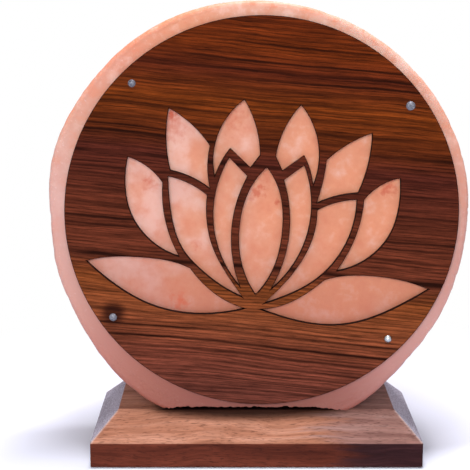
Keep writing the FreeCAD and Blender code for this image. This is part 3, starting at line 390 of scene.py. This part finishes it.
# bruised crystals, 1 to 2 mm across, whiten the sawn edge
bruises = add(tree, "TexNoise", {"Vector": panel_mm, "Scale": 0.45, "Detail": 4.0, "Roughness": 0.7})
bruised = add(tree, "MapRange", {0: bruises, 1: 0.6, 2: 0.78})
edge_zone = add(tree, "MapRange", {0: reach, 1: 104.0, 2: 114.0, 3: 0.25, 4: 0.9})
sound_foot = add(tree, "MapRange", {0: axes.outputs["Z"], 1: -80.0, 2: 20.0, 3: 0.1, 4: 1.0})
at_rim = add(tree, "Math", {0: rim_zone, 1: sound_foot}, operation="MULTIPLY")
glint_amount = add(tree, "Math", {0: add(tree, "Math", {0: bruised, 1: edge_zone}, operation="MULTIPLY"),
                                  1: at_rim}, operation="MULTIPLY")
coloured = add(tree, "MixRGB", {0: glint_amount, 1: rimmed, 2: linear("#F0D9D2")})
faces = add(tree, "TexVoronoi", {"Vector": panel_mm, "Scale": 0.5}, feature="SMOOTH_F1")
fine = add(tree, "TexNoise", {"Vector": panel_mm, "Scale": 0.9, "Detail": 3.0})
rugged = add(tree, "MapRange", {0: reach, 1: 110.0, 2: 113.0, 3: 0.08, 4: 1.0})
relief = add(tree, "Math", {0: add(tree, "Math", {0: faces.outputs["Distance"], 1: fine}, operation="ADD"),
                            1: rugged}, operation="MULTIPLY")
bump = add(tree, "Bump", {"Height": relief, "Strength": 0.5, "Distance": 0.0006})
surface(tree, {
    "Base Color": coloured, "Roughness": add(tree, "MapRange", {0: fine, 3: 0.42, 4: 0.62}), "Normal": bump,
    "Subsurface Weight": 0.25, "Subsurface Radius": (1.0, 0.45, 0.3), "Subsurface Scale": 0.003,
})

slab = piece("rock_salt_slab", skin, salt, "lamp_body", smooth=60.0)
drill = bmesh.new()
bmesh.ops.create_cone(drill, cap_ends=True, segments=96, radius1=BORE_RADIUS, radius2=BORE_RADIUS,
                      depth=BORE_DEPTH, matrix=Matrix.Translation((0, 0, BORE_TOP - BORE_DEPTH / 2)))
cutter = piece("bore_cutter", drill, salt, "lamp_body")
bored = slab.modifiers.new("bore", "BOOLEAN")
bored.object = cutter
bored.solver = "EXACT"
settle(slab, 60.0)
bpy.data.objects.remove(cutter)
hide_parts("salt_slab")

# ---------------------------------------------------------------- screws, washers and plugs under the slab
# Two wood screws come up through the base with washers under their heads, into plugs set in the salt.
# Bright zinc: a cool grey metal with a faint cloudy bloom.
zinc, tree = start("bright_zinc_plated_steel")
place = add(tree, "TexCoord").outputs["Object"]
bloom = add(tree, "TexNoise", {"Vector": place, "Scale": 700.0, "Detail": 3.0})
shade = add(tree, "ValToRGB", {"Fac": bloom}, [(0.3, "#9FA5AA"), (0.7, "#C3C8CB")])
surface(tree, {
    "Base Color": shade, "Metallic": 1.0, "Roughness": add(tree, "MapRange", {0: bloom, 3: 0.22, 4: 0.4}),
})
# Nylon: milky, slightly see-through and softly shiny.
nylon, tree = start("moulded_natural_nylon")
place = add(tree, "TexCoord").outputs["Object"]
flow = add(tree, "TexNoise", {"Vector": place, "Scale": 400.0, "Detail": 2.0})
shade = add(tree, "ValToRGB", {"Fac": flow}, [(0.3, "#D9D5C8"), (0.7, "#E6E3D9")])
surface(tree, {
    "Base Color": shade, "Roughness": 0.42, "Subsurface Weight": 0.15, "Subsurface Scale": 0.001,
})
dress("slab_screws", zinc)
dress("slab_screw_washers", zinc)
dress("slab_screw_plugs", nylon)

# ---------------------------------------------------------------- lotus panel
# A disc of 3 mm veneered board, dark and close-grained, with the flower's petals burnt out of it by a laser.
# The cut leaves a thin char line round the disc and round every petal.
# Lacquered veneer: broad warm stripes, drawn dark lines and a close fibre, under a thin satin coat.
veneer, tree = start("lacquered_striped_dark_veneer")
place = add(tree, "TexCoord").outputs["Object"]
panel_mm = add(tree, "Mapping", {"Vector": place, "Location": PANEL_CENTRE, "Rotation": (0, PANEL_TURN, 0),
                                 "Scale": (0.001, 0.001, 0.001)}, vector_type="TEXTURE")
# the stripes drift by a few millimetres and tremble a little
drift = add(tree, "TexNoise", {"Vector": add(tree, "Mapping", {"Vector": panel_mm, "Scale": (0.012, 0.02, 0.03)}),
                               "Scale": 1.0, "Detail": 1.0})
tremble = add(tree, "TexNoise", {"Vector": add(tree, "Mapping", {"Vector": panel_mm, "Scale": (0.09, 0.2, 0.25)}),
                                 "Scale": 1.0, "Detail": 2.0})
drifted = add(tree, "VectorMath", {0: drift.outputs["Color"], 1: (0, 0, 5.0), 2: panel_mm},
              operation="MULTIPLY_ADD")
grain = add(tree, "VectorMath", {0: tremble.outputs["Color"], 1: (0, 0, 0.9), 2: drifted},
            operation="MULTIPLY_ADD")
# the grain drops by a hundredth of its run to the right
grain_axes = add(tree, "SeparateXYZ", {"Vector": grain})
sloped = add(tree, "Math", {0: grain_axes.outputs["X"], 1: 0.01, 2: grain_axes.outputs["Z"]},
             operation="MULTIPLY_ADD")
height = add(tree, "Math", {0: sloped, 1: 2.95}, operation="SUBTRACT")
# broad light and dark stripes of the log, from the disc's foot to its crown; the lowest ones are paler and
# bluer, partly as a painted reflection of the white table
stripe_place = add(tree, "MapRange", {0: height, 1: -100.0, 2: 111.0})
stripes = add(tree, "ValToRGB", {"Fac": stripe_place}, [
    (0.00, "#6B382C"), (0.10, "#7A3E2C"), (0.20, "#874728"), (0.28, "#80421F"), (0.33, "#64301F"),
    (0.38, "#68311F"), (0.47, "#5E2B1B"), (0.61, "#552419"), (0.66, "#602910"), (0.75, "#74340F"),
    (0.83, "#582210"), (0.89, "#6E2D0D"), (0.96, "#62260B"),
])
# fine fibres, two to the millimetre, and looser streaks 2 mm apart
fibre_place = add(tree, "Mapping", {"Vector": grain, "Scale": (0.05, 0.6, 1.2)})
fibres = add(tree, "TexNoise", {"Vector": fibre_place, "Scale": 1.0, "Detail": 6.0, "Roughness": 0.85})
streak_place = add(tree, "Mapping", {"Vector": grain, "Scale": (0.02, 0.3, 0.5)})
streaks = add(tree, "TexNoise", {"Vector": streak_place, "Scale": 1.0, "Detail": 2.0})
fibre_light = add(tree, "MapRange", {0: fibres, 1: 0.28, 2: 0.72, 3: 0.1, 4: 1.55})
streak_light = add(tree, "MapRange", {0: streaks, 1: 0.3, 2: 0.7, 3: 0.7, 4: 1.35})
fibred = add(tree, "MixRGB", {0: 1.0, 1: stripes, 2: fibre_light}, blend_type="MULTIPLY")
streaked = add(tree, "MixRGB", {0: 1.0, 1: fibred, 2: streak_light}, blend_type="MULTIPLY")
# the log's dark latewood lines: how high each lies, how dark and how wide it is. They fade in and out.
LATE_LINES = (
    (101, 0.4, 0.7), (94, 0.5, 0.8), (90, 0.7, 0.8), (81.2, 0.85, 0.9), (76.2, 0.9, 1.1), (71.5, 0.9, 1.0),
    (66.6, 0.5, 0.8), (60.6, 0.6, 0.8), (57, 0.5, 0.6), (53, 0.7, 0.8), (46, 0.6, 1.6), (41, 0.8, 0.9),
    (37.6, 0.9, 1.4), (30, 0.5, 0.8), (26.3, 0.9, 1.5), (18, 0.6, 1.0), (14, 0.5, 0.8), (6.2, 0.85, 1.0),
    (-1, 0.5, 0.8), (-8, 0.8, 1.0), (-12, 0.7, 1.0), (-18, 0.6, 1.0), (-28.3, 0.95, 2.2), (-38, 0.5, 0.8),
    (-58.5, 0.4, 0.6), (-63.4, 0.6, 0.7), (-66, 0.9, 0.9), (-72, 0.95, 1.2), (-77.5, 0.7, 1.3),
    (-83.5, 0.7, 0.9), (-88, 0.6, 0.8), (-93, 0.55, 0.8), (-98, 0.5, 0.8),
)
fade_place = add(tree, "Mapping", {"Vector": grain, "Scale": (0.016, 0.1, 0.14)})
fade = add(tree, "MapRange", {0: add(tree, "TexNoise", {"Vector": fade_place, "Scale": 1.0, "Detail": 2.0}),
                              1: 0.36, 2: 0.54, 3: 0.45, 4: 1.0})
# drawn lines of the fine figure between them, 2 mm apart
thin = add(tree, "TexVoronoi", {"W": height, "Scale": 0.5},
           voronoi_dimensions="1D", feature="DISTANCE_TO_EDGE")
darkness = add(tree, "MapRange", {0: thin, 1: 0.2, 2: 0.04, 3: 0.0, 4: 0.55})
for line_height, strength, width in LATE_LINES:
    above = add(tree, "Math", {0: height, 1: line_height}, operation="SUBTRACT")
    away = add(tree, "Math", {0: above}, operation="ABSOLUTE")
    late = add(tree, "MapRange", {0: away, 1: width, 2: 0.25 * width, 3: 0.0, 4: strength})
    darkness = add(tree, "Math", {0: darkness, 1: late}, operation="MAXIMUM")
darkness = add(tree, "Math", {0: darkness, 1: fade}, operation="MULTIPLY")
lined = add(tree, "MixRGB", {0: add(tree, "Math", {0: darkness, 1: 0.96}, operation="MULTIPLY"),
                             1: streaked, 2: linear("#160603")})
# a small knot darkens the wood round the lower left screw
knot_away = add(tree, "VectorMath", {0: grain, 1: (-74.9, -33.6, -57.0)}, operation="DISTANCE").outputs["Value"]
knot = add(tree, "MapRange", {0: knot_away, 1: 9.0, 2: 3.0, 3: 0.0, 4: 0.85}, interpolation_type="SMOOTHSTEP")
knotted = add(tree, "MixRGB", {0: knot, 1: lined, 2: linear("#210A07")})
# char: everything that doesn't face straight forward or back was touched by the laser
front = add(tree, "SeparateXYZ", {"Vector": add(tree, "NewGeometry").outputs["True Normal"]}).outputs["Y"]
flatness = add(tree, "Math", {0: front}, operation="ABSOLUTE")
char = add(tree, "MapRange", {0: flatness, 1: 0.97, 2: 0.85})
coloured = add(tree, "MixRGB", {0: char, 1: knotted, 2: linear("#1E0C08")})
hollow = add(tree, "Math", {0: fibres, 1: darkness}, operation="SUBTRACT")
bump = add(tree, "Bump", {"Height": hollow, "Strength": 0.25, "Distance": 0.0002})
surface(tree, {
    "Base Color": coloured, "Roughness": add(tree, "MapRange", {0: fibres, 3: 0.42, 4: 0.58}), "Normal": bump,
    "Specular IOR Level": 0.02,
})


def copy_of(node):
    """A CAD node's mesh with its faces joined up, to be given finer edges."""
    joined = bmesh.new()
    joined.from_mesh(cad[node].data)
    bmesh.ops.remove_doubles(joined, verts=joined.verts, dist=0.000005)
    return joined


SCREW_ANGLES = (-140.2, 139.1, 41.7, -39.8)      # from the lower left, clockwise
SCREW_INSETS = (0.0074, 0.0074, 0.0078, 0.0083)  # in from the disc's edge
CHAR_WIDTH = 0.0003                              # the burnt line along every cut edge
CHAR_STARTS = 0.006                              # no char this near to a screw, whose hole was drilled
panel_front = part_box("lotus_panel")[0].y
screw_places = []
for degrees, inset in zip(SCREW_ANGLES, SCREW_INSETS):
    angle = math.radians(degrees) - PANEL_TURN
    out = Vector((math.cos(angle), 0, math.sin(angle))) * (PANEL_RADIUS - inset)
    screw_places.append(PANEL_CENTRE + out + Vector((0, panel_front, 0)))
board = copy_of("lotus_panel")
scorch_line = board.edges.layers.float.new("bevel_weight_edge")
for edge in board.edges:
    middle = (edge.verts[0].co + edge.verts[1].co) / 2
    clear_of_screws = all((middle - place).length > CHAR_STARTS for place in screw_places)
    if clear_of_screws and len(edge.link_faces) == 2 and edge.calc_face_angle() > math.radians(40):
        edge[scorch_line] = 1.0
panel = piece("pierced_lotus_panel", board, veneer, "lamp_body")
scorched = panel.modifiers.new("char_edge", "BEVEL")
scorched.width = CHAR_WIDTH
scorched.segments = 1
scorched.limit_method = "WEIGHT"
scorched.use_clamp_overlap = False
settle(panel, 25.0)
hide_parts("lotus_panel")

# ---------------------------------------------------------------- panel's screws
# Four small wood screws, no two quite alike, driven by hand through the panel into plugs in the salt. Their
# domed heads have one slot each, and the two at the left have gone dull.
# Weathered zinc: part bare metal and part grey bloom, so that it takes the light softly.
dull_zinc, tree = start("weathered_zinc_plated_steel")
place = add(tree, "TexCoord").outputs["Object"]
bloom = add(tree, "TexNoise", {"Vector": place, "Scale": 1300.0, "Detail": 3.0})
shade = add(tree, "ValToRGB", {"Fac": bloom}, [(0.3, "#5E5F68"), (0.7, "#8F8F98")])
surface(tree, {
    "Base Color": shade, "Metallic": 0.55, "Roughness": add(tree, "MapRange", {0: bloom, 3: 0.45, 4: 0.7}),
})


def lathe(profile, steps=96):
    """A solid turned about the z axis, from (radius, height) corners in metres."""
    turned = bmesh.new()
    corners = [turned.verts.new((radius, 0, height)) for radius, height in profile]
    for before, after in zip(corners, corners[1:]):
        turned.edges.new((before, after))
    bmesh.ops.spin(turned, geom=turned.verts[:] + turned.edges[:], cent=(0, 0, 0), axis=(0, 0, 1),
                   angle=math.tau, steps=steps, use_merge=True)
    bmesh.ops.remove_doubles(turned, verts=turned.verts, dist=0.000002)
    bmesh.ops.recalc_face_normals(turned, faces=turned.faces)
    return turned


def domed_screw(name, place, head, finish, slot_turn, slot_width, slot_depth, hollow):
    """A screw that faces the viewer: its head's radius, its slot, and whether the head is dished."""
    rise = 0.0014        # height of the dome
    ball = (head ** 2 + rise ** 2) / (2 * rise)
    crown = [(head * k / 12, math.sqrt(ball ** 2 - (head * k / 12) ** 2) - (ball - rise)) for k in range(12)]
    crown += [(head * 0.985, 0.00012), (head, 0.00002), (head, 0.0)]
    shank = [(0.0013, 0.0), (0.0013, -0.017), (0.00026, -0.02), (0.0, -0.02)]
    screw = lathe(crown + shank, 64)
    if hollow:
        for vertex in screw.verts:
            off_axis = math.hypot(vertex.co.x, vertex.co.y)
            if vertex.co.z > 0 and 0.35 * head < off_axis < 0.72 * head:
                vertex.co.z -= 0.0004
    made = piece(name, screw, finish, "lamp_body")
    if slot_depth:
        groove = bmesh.new()
        size = Matrix.Diagonal((head * 2.4, slot_width, slot_depth * 2, 1.0))
        lift = Matrix.Translation((0, 0, rise))
        turned = Matrix.Rotation(math.radians(slot_turn), 4, "Z")
        bmesh.ops.create_cube(groove, size=1.0, matrix=turned @ lift @ size)
        tool = piece("slot_cutter", groove, finish, "lamp_body")
        slotted = made.modifiers.new("slot", "BOOLEAN")
        slotted.object = tool
        slotted.solver = "EXACT"
        settle(made)
        bpy.data.objects.remove(tool)
    made.data.transform(Matrix.Translation(place) @ Matrix.Rotation(math.radians(90), 4, "X"))
    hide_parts("panel_screws")


# each head's radius and finish, its slot's turn in degrees, width and depth, and whether it is dished
HEADS = (
    ("panel_screw_lower_left", 0.0021, dull_zinc, 88, 0.0006, 0.00025, False),
    ("panel_screw_upper_left", 0.0020, dull_zinc, 0, 0.0006, 0.0, True),
    ("panel_screw_upper_right", 0.0024, dull_zinc, -35, 0.0009, 0.0007, False),
    ("panel_screw_lower_right", 0.0021, zinc, 20, 0.0004, 0.0002, False),
)
for place, (name, *head) in zip(screw_places, HEADS):
    domed_screw(name, place, *head)
dress("panel_screw_plugs", nylon)

# ---------------------------------------------------------------- lamp holder
# A black phenolic sleeve on a round flange, closed from below by a cup that is held by two screws. The cord
# comes in through a soft bush in the cup's back.
# Phenolic moulding: near black, with an even satin shine that a fine orange-peel breaks up.
phenolic, tree = start("moulded_black_phenolic")
place = add(tree, "TexCoord").outputs["Object"]
peel = add(tree, "TexNoise", {"Vector": place, "Scale": 1200.0, "Detail": 2.0})
smears = add(tree, "TexNoise", {"Vector": place, "Scale": 90.0, "Detail": 3.0})
shade = add(tree, "ValToRGB", {"Fac": smears}, [(0.3, "#151415"), (0.7, "#211F20")])
bump = add(tree, "Bump", {"Height": peel, "Strength": 0.15, "Distance": 0.0001})
surface(tree, {
    "Base Color": shade, "Roughness": add(tree, "MapRange", {0: smears, 3: 0.28, 4: 0.42}), "Normal": bump,
})


def eased(name, node, material, body, width):
    """A CAD node's own shape with its sharp edges broken, in place of the node."""
    made = piece(name, copy_of(node), material, body)
    easing = made.modifiers.new("eased_edges", "BEVEL")
    easing.width = width
    easing.segments = 2
    easing.limit_method = "ANGLE"
    easing.angle_limit = math.radians(40)
    settle(made)
    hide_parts(node)


eased("holder_sleeve_and_flange", "holder_shell", phenolic, "holder", 0.0003)
eased("holder_bottom_cup", "holder_lower_cap", phenolic, "holder", 0.0003)
dress("holder_cap_screws", zinc)
dress("cord_bush", rubber)

# ---------------------------------------------------------------- core and contacts
# A glazed porcelain disc sits on the sleeve's ledge. It carries a threaded brass shell for the bulb, and two
# bent brass strips with their terminal screws.
# Glazed porcelain: warm white, glassy, with the odd iron speck under the glaze.
porcelain, tree = start("glazed_white_porcelain")
place = add(tree, "TexCoord").outputs["Object"]
specks = add(tree, "TexNoise", {"Vector": place, "Scale": 1500.0, "Detail": 2.0})
shade = add(tree, "ValToRGB", {"Fac": specks}, [(0.27, "#A89C8C"), (0.33, "#E6E1D6"), (0.7, "#EFEBE2")])
surface(tree, {
    "Base Color": shade, "Roughness": add(tree, "MapRange", {0: specks, 3: 0.14, 4: 0.22}),
    "Subsurface Weight": 0.1, "Subsurface Scale": 0.001,
})
# Pressed brass: yellow, drawn lines round it, a little dulled by handling.
brass, tree = start("pressed_yellow_brass")
place = add(tree, "TexCoord").outputs["Object"]
drawn = add(tree, "TexNoise", {"Vector": add(tree, "Mapping", {"Vector": place, "Scale": (150, 150, 2500)}),
                               "Scale": 1.0, "Detail": 3.0})
shade = add(tree, "ValToRGB", {"Fac": drawn}, [(0.3, "#C99A4E"), (0.7, "#E0B868")])
bump = add(tree, "Bump", {"Height": drawn, "Strength": 0.1, "Distance": 0.0001})
surface(tree, {
    "Base Color": shade, "Metallic": 1.0, "Roughness": add(tree, "MapRange", {0: drawn, 3: 0.24, 4: 0.4}),
    "Normal": bump,
})
eased("porcelain_core", "socket_core", porcelain, "holder", 0.0002)

THREAD_PITCH = 0.00282
SHELL_OUTSIDE, SHELL_INSIDE, SHELL_FLANGE = 0.00738, 0.00698, 0.00898
SHEET = 0.0004                                   # thickness of the brass
SHELL_THREAD = 0.0005                            # how far its thread stands out
UP = 72                                          # rows of faces up the shell
shell_low, shell_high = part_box("contact_shell")


def wave(height, angle, low, high):
    """Depth of a rolled thread, 0 to 1, which runs out smoothly at its two ends."""
    inside = min(1.0, max(0.0, (height - low) / 0.002)) * min(1.0, max(0.0, (high - height) / 0.002))
    return inside * (0.5 - 0.5 * math.cos(math.tau * (height - low) / THREAD_PITCH - angle))


shell_rise = shell_high.z - shell_low.z
wall = [(SHELL_OUTSIDE, shell_low.z + SHEET + (shell_rise - SHEET) * k / UP) for k in range(UP + 1)]
inside_wall = [(SHELL_INSIDE, height) for _, height in reversed(wall)] + [(SHELL_INSIDE, shell_low.z)]
foot_corners = [(SHELL_FLANGE, shell_low.z), (SHELL_FLANGE, shell_low.z + SHEET)]
threaded_shell = lathe(wall + inside_wall + foot_corners + wall[:1])
for vertex in threaded_shell.verts:
    reach = math.hypot(vertex.co.x, vertex.co.y)
    if reach < (SHELL_OUTSIDE + SHELL_FLANGE) / 2:
        swell = SHELL_THREAD * wave(vertex.co.z, math.atan2(vertex.co.y, vertex.co.x),
                                     shell_low.z + 0.002, shell_high.z - 0.001)
        vertex.co.x *= 1 + swell / reach
        vertex.co.y *= 1 + swell / reach
shell_piece = piece("threaded_contact_shell", threaded_shell, brass, "holder", 50.0)
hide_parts("contact_shell")
dress("shell_terminal", brass)
dress("centre_contact", brass)
dress("terminal_screws", brass)

# ---------------------------------------------------------------- spring collar and wings
# A band of spring steel is riveted round the sleeve, and two bent leaves grip the bore so the holder stays up.
# Rolled spring strip: blue-grey, with fine lines from the rolls.
spring_steel, tree = start("rolled_blue_spring_steel")
place = add(tree, "TexCoord").outputs["Object"]
rolled = add(tree, "TexNoise", {"Vector": add(tree, "Mapping", {"Vector": place, "Scale": (3000, 3000, 120)}),
                                "Scale": 1.0, "Detail": 3.0})
shade = add(tree, "ValToRGB", {"Fac": rolled}, [(0.3, "#6E737C"), (0.7, "#8C929B")])
surface(tree, {
    "Base Color": shade, "Metallic": 1.0, "Roughness": add(tree, "MapRange", {0: rolled, 3: 0.25, 4: 0.42}),
})
dress("spring_collar", spring_steel)
dress("collar_rivets", zinc)
eased("left_gripping_wing", "spring_wing_left", spring_steel, "wing_left", 0.00012)
eased("right_gripping_wing", "spring_wing_right", spring_steel, "wing_right", 0.00012)

# ---------------------------------------------------------------- bulb
# A small clear filament bulb: blown glass cemented into a rolled screw cap, with a black glass insulator and a
# solder tip below, and a pressed stem inside that carries two wires and the filament.
# Blown glass: clear and colourless, seen mostly by its edges.
blown, tree = start("blown_clear_glass")
place = add(tree, "TexCoord").outputs["Object"]
ripple = add(tree, "TexNoise", {"Vector": place, "Scale": 60.0, "Detail": 1.0})
bump = add(tree, "Bump", {"Height": ripple, "Strength": 0.05, "Distance": 0.0003})
surface(tree, {
    "Base Color": linear("#F7FAFA"), "Roughness": 0.02, "IOR": 1.5, "Transmission Weight": 1.0, "Normal": bump,
})
# Pressed lead glass: a little greyer, with flow lines from the press.
pressed, tree = start("pressed_lead_glass")
place = add(tree, "TexCoord").outputs["Object"]
flow = add(tree, "TexNoise", {"Vector": place, "Scale": 500.0, "Detail": 2.0})
bump = add(tree, "Bump", {"Height": flow, "Strength": 0.3, "Distance": 0.0002})
surface(tree, {
    "Base Color": linear("#E6EDEB"), "Roughness": 0.08, "IOR": 1.56, "Transmission Weight": 1.0, "Normal": bump,
})
# Rolled nickel-plated cap: bright and warm, brushed round by the rolls.
cap_metal, tree = start("rolled_nickel_plated_cap")
place = add(tree, "TexCoord").outputs["Object"]
brushed = add(tree, "TexNoise", {"Vector": add(tree, "Mapping", {"Vector": place, "Scale": (120, 120, 3500)}),
                                 "Scale": 1.0, "Detail": 3.0})
shade = add(tree, "ValToRGB", {"Fac": brushed}, [(0.3, "#A9A69F"), (0.7, "#CDCAC3")])
surface(tree, {
    "Base Color": shade, "Metallic": 1.0, "Roughness": add(tree, "MapRange", {0: brushed, 3: 0.18, 4: 0.34}),
})
# Fused black glass: near black and glossy, clouded a little by bubbles.
black_glass, tree = start("fused_black_glass")
place = add(tree, "TexCoord").outputs["Object"]
bubbles = add(tree, "TexNoise", {"Vector": place, "Scale": 900.0, "Detail": 2.0})
shade = add(tree, "ValToRGB", {"Fac": bubbles}, [(0.3, "#08070A"), (0.7, "#18161C")])
surface(tree, {
    "Base Color": shade, "Roughness": add(tree, "MapRange", {0: bubbles, 3: 0.08, 4: 0.2}),
})
# Tin solder: dull silver, frosted and dented as it set.
solder, tree = start("dull_tin_solder")
place = add(tree, "TexCoord").outputs["Object"]
frost = add(tree, "TexNoise", {"Vector": place, "Scale": 1600.0, "Detail": 4.0})
shade = add(tree, "ValToRGB", {"Fac": frost}, [(0.3, "#8E9092"), (0.7, "#B5B7B8")])
bump = add(tree, "Bump", {"Height": frost, "Strength": 0.4, "Distance": 0.0002})
surface(tree, {
    "Base Color": shade, "Metallic": 1.0, "Roughness": add(tree, "MapRange", {0: frost, 3: 0.4, 4: 0.6}),
    "Normal": bump,
})
# Drawn tungsten: dark grey wire, its fine coils shown as bands of light and shade.
tungsten, tree = start("drawn_tungsten_wire")
place = add(tree, "TexCoord").outputs["Object"]
waves = add(tree, "TexWave", {"Vector": place, "Scale": 900.0, "Distortion": 0.0}, bands_direction="X")
coils = waves.outputs["Fac"]
shade = add(tree, "ValToRGB", {"Fac": coils}, [(0.2, "#3B3B3F"), (0.8, "#77777C")])
bump = add(tree, "Bump", {"Height": coils, "Strength": 0.8, "Distance": 0.0001})
surface(tree, {
    "Base Color": shade, "Metallic": 1.0, "Roughness": add(tree, "MapRange", {0: coils, 3: 0.35, 4: 0.55}),
    "Normal": bump,
})

CAP_OUTSIDE, CAP_INSIDE, CAP_SHOULDER = 0.0069, 0.00635, 0.0015
CAP_THREAD = 0.0004                              # how deep the thread is rolled in
CAP_UP = 80                                      # rows of faces up the cap
cap_low, cap_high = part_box("bulb_cap")
barrel_rise = cap_high.z - cap_low.z - CAP_SHOULDER
barrel = [(CAP_OUTSIDE, cap_low.z + CAP_SHOULDER + barrel_rise * k / CAP_UP) for k in range(CAP_UP + 1)]
barrel_inside = [(CAP_INSIDE, height) for _, height in reversed(barrel)]
cap_floor = [(0.0053, cap_low.z + 0.0008), (0.0027, cap_low.z + 0.0004), (0.0027, cap_low.z), (0.0054, cap_low.z)]
threaded_cap = lathe(barrel + barrel_inside + cap_floor + barrel[:1])
for vertex in threaded_cap.verts:
    reach = math.hypot(vertex.co.x, vertex.co.y)
    if reach > (CAP_OUTSIDE + CAP_INSIDE) / 2:
        angle = math.atan2(vertex.co.y, vertex.co.x)
        crest = wave(vertex.co.z, angle, cap_low.z + CAP_SHOULDER, cap_high.z - 0.004)
        plain_top = min(1.0, max(0.0, (cap_high.z - 0.003 - vertex.co.z) / 0.001))
        dip = CAP_THREAD * (1 - crest) * plain_top
        vertex.co.x *= 1 - dip / reach
        vertex.co.y *= 1 - dip / reach
cap_piece = piece("rolled_screw_cap", threaded_cap, cap_metal, "bulb", 50.0)
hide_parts("bulb_cap")

# the glass: an upright neck, a hollow shoulder and a round top, 0.8 mm thick all over
glass_low, glass_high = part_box("bulb_glass")
GLOBE, NECK, WALL = 0.013, 0.00635, 0.0008
globe_z = glass_high.z - GLOBE
shoulder_z = cap_high.z
globe_rise = globe_z - shoulder_z
shoulder = (NECK ** 2 + globe_rise ** 2 - GLOBE ** 2) / (2 * (GLOBE - NECK))
towards = math.atan2(-globe_rise, NECK + shoulder)


def glass_line(inset):
    """Neck, shoulder and globe from below, drawn in by the glass's thickness or not at all."""
    line = [(NECK - inset, glass_low.z + (shoulder_z - glass_low.z) * k / 4) for k in range(4)]
    for k in range(25):
        turn_at = math.pi + towards * k / 24
        line.append((NECK + shoulder + (shoulder + inset) * math.cos(turn_at),
                     shoulder_z + (shoulder + inset) * math.sin(turn_at)))
    for k in range(1, 41):
        turn_at = towards + (math.pi / 2 - towards) * k / 40
        line.append(((GLOBE - inset) * math.cos(turn_at), globe_z + (GLOBE - inset) * math.sin(turn_at)))
    line[-1] = (0.0, line[-1][1])
    return line


outside, within = glass_line(0.0), glass_line(WALL)
envelope = lathe(outside, 128)
lining = lathe(within[::-1], 128)
lining_mesh = bpy.data.meshes.new("lining")
lining.to_mesh(lining_mesh)
lining.free()
envelope.from_mesh(lining_mesh)
bpy.data.meshes.remove(lining_mesh)
open_edges = [edge for edge in envelope.edges if edge.is_boundary]
bmesh.ops.bridge_loops(envelope, edges=open_edges)
bmesh.ops.recalc_face_normals(envelope, faces=envelope.faces)
glass_piece = piece("blown_glass_envelope", envelope, blown, "bulb", 60.0)
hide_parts("bulb_glass")
dress("bulb_insulator", black_glass)
eased("solder_tip", "bulb_tip", solder, "bulb", 0.0002)
dress("bulb_stem", pressed)
dress("bulb_leads", zinc)
dress("bulb_filament", tungsten)

# ---------------------------------------------------------------- floor and light
# A white table top that runs on to a white background, a wide soft lamp overhead, and a pale room around.
# Matt white board: it takes a soft shadow near the lamp, and 0.3 m out the camera sees plain white.
table_white, tree = start("matt_white_table")
place = add(tree, "TexCoord").outputs["Object"]
distance = add(tree, "VectorMath", {0: place}, operation="LENGTH").outputs["Value"]
fade = add(tree, "MapRange", {0: distance, 1: 0.12, 2: 0.30}, interpolation_type="SMOOTHSTEP")
seen = add(tree, "LightPath").outputs["Is Camera Ray"]
blank = add(tree, "Math", {0: fade, 1: seen}, operation="MULTIPLY")
paper = add(tree, "BsdfDiffuse", {"Color": linear("#E6E8F2"), "Roughness": 0.6})
white = add(tree, "Emission", {"Color": (1, 1, 1, 1), "Strength": 1.0})
add(tree, "OutputMaterial", {"Surface": add(tree, "MixShader", {0: blank, 1: paper, 2: white})})
sheet = bmesh.new()
bmesh.ops.create_grid(sheet, x_segments=8, y_segments=8, size=3.0)
floor_mesh = bpy.data.meshes.new("floor")
sheet.to_mesh(floor_mesh)
sheet.free()
floor_mesh.materials.append(table_white)
floor = bpy.data.objects.new("floor", floor_mesh)
bpy.context.scene.collection.objects.link(floor)


def lamp(name, place, aim, width, depth, watts, colour):
    """A soft rectangular lamp that looks at a point."""
    light = bpy.data.lights.new(name, "AREA")
    light.shape = "RECTANGLE"
    light.size, light.size_y = width, depth
    light.energy = watts
    light.color = linear(colour)[:3]
    stand = bpy.data.objects.new(name, light)
    stand.location = place
    stand.rotation_euler = (Vector(aim) - Vector(place)).to_track_quat("-Z", "Y").to_euler()
    bpy.context.scene.collection.objects.link(stand)


lamp("overhead_softbox", (0.08, -0.06, 1.30), (0, 0, 0.05), 0.8, 0.14, 18.0, "#FBFAFF")
lamp("front_softbox", (-0.15, -1.30, 0.62), (0, 0, 0.1), 0.9, 0.5, 11.5, "#FFFDFA")

room = bpy.data.worlds.new("pale_room")
bpy.context.scene.world = room
room.use_nodes = True
tree = room.node_tree
tree.nodes.clear()
path = add(tree, "LightPath")
shown = path.outputs["Is Camera Ray"]
for ray in ("Is Glossy Ray", "Is Transmission Ray"):
    shown = add(tree, "Math", {0: shown, 1: path.outputs[ray]}, operation="MAXIMUM")
dim = add(tree, "Background", {"Color": linear("#E9EDFF"), "Strength": 0.32})
bright = add(tree, "Background", {"Color": (1, 1, 1, 1), "Strength": 1.0})
add(tree, "OutputWorld", {"Surface": add(tree, "MixShader", {0: shown, 1: dim, 2: bright})})

bpy.context.scene.view_settings.view_transform = "Standard"
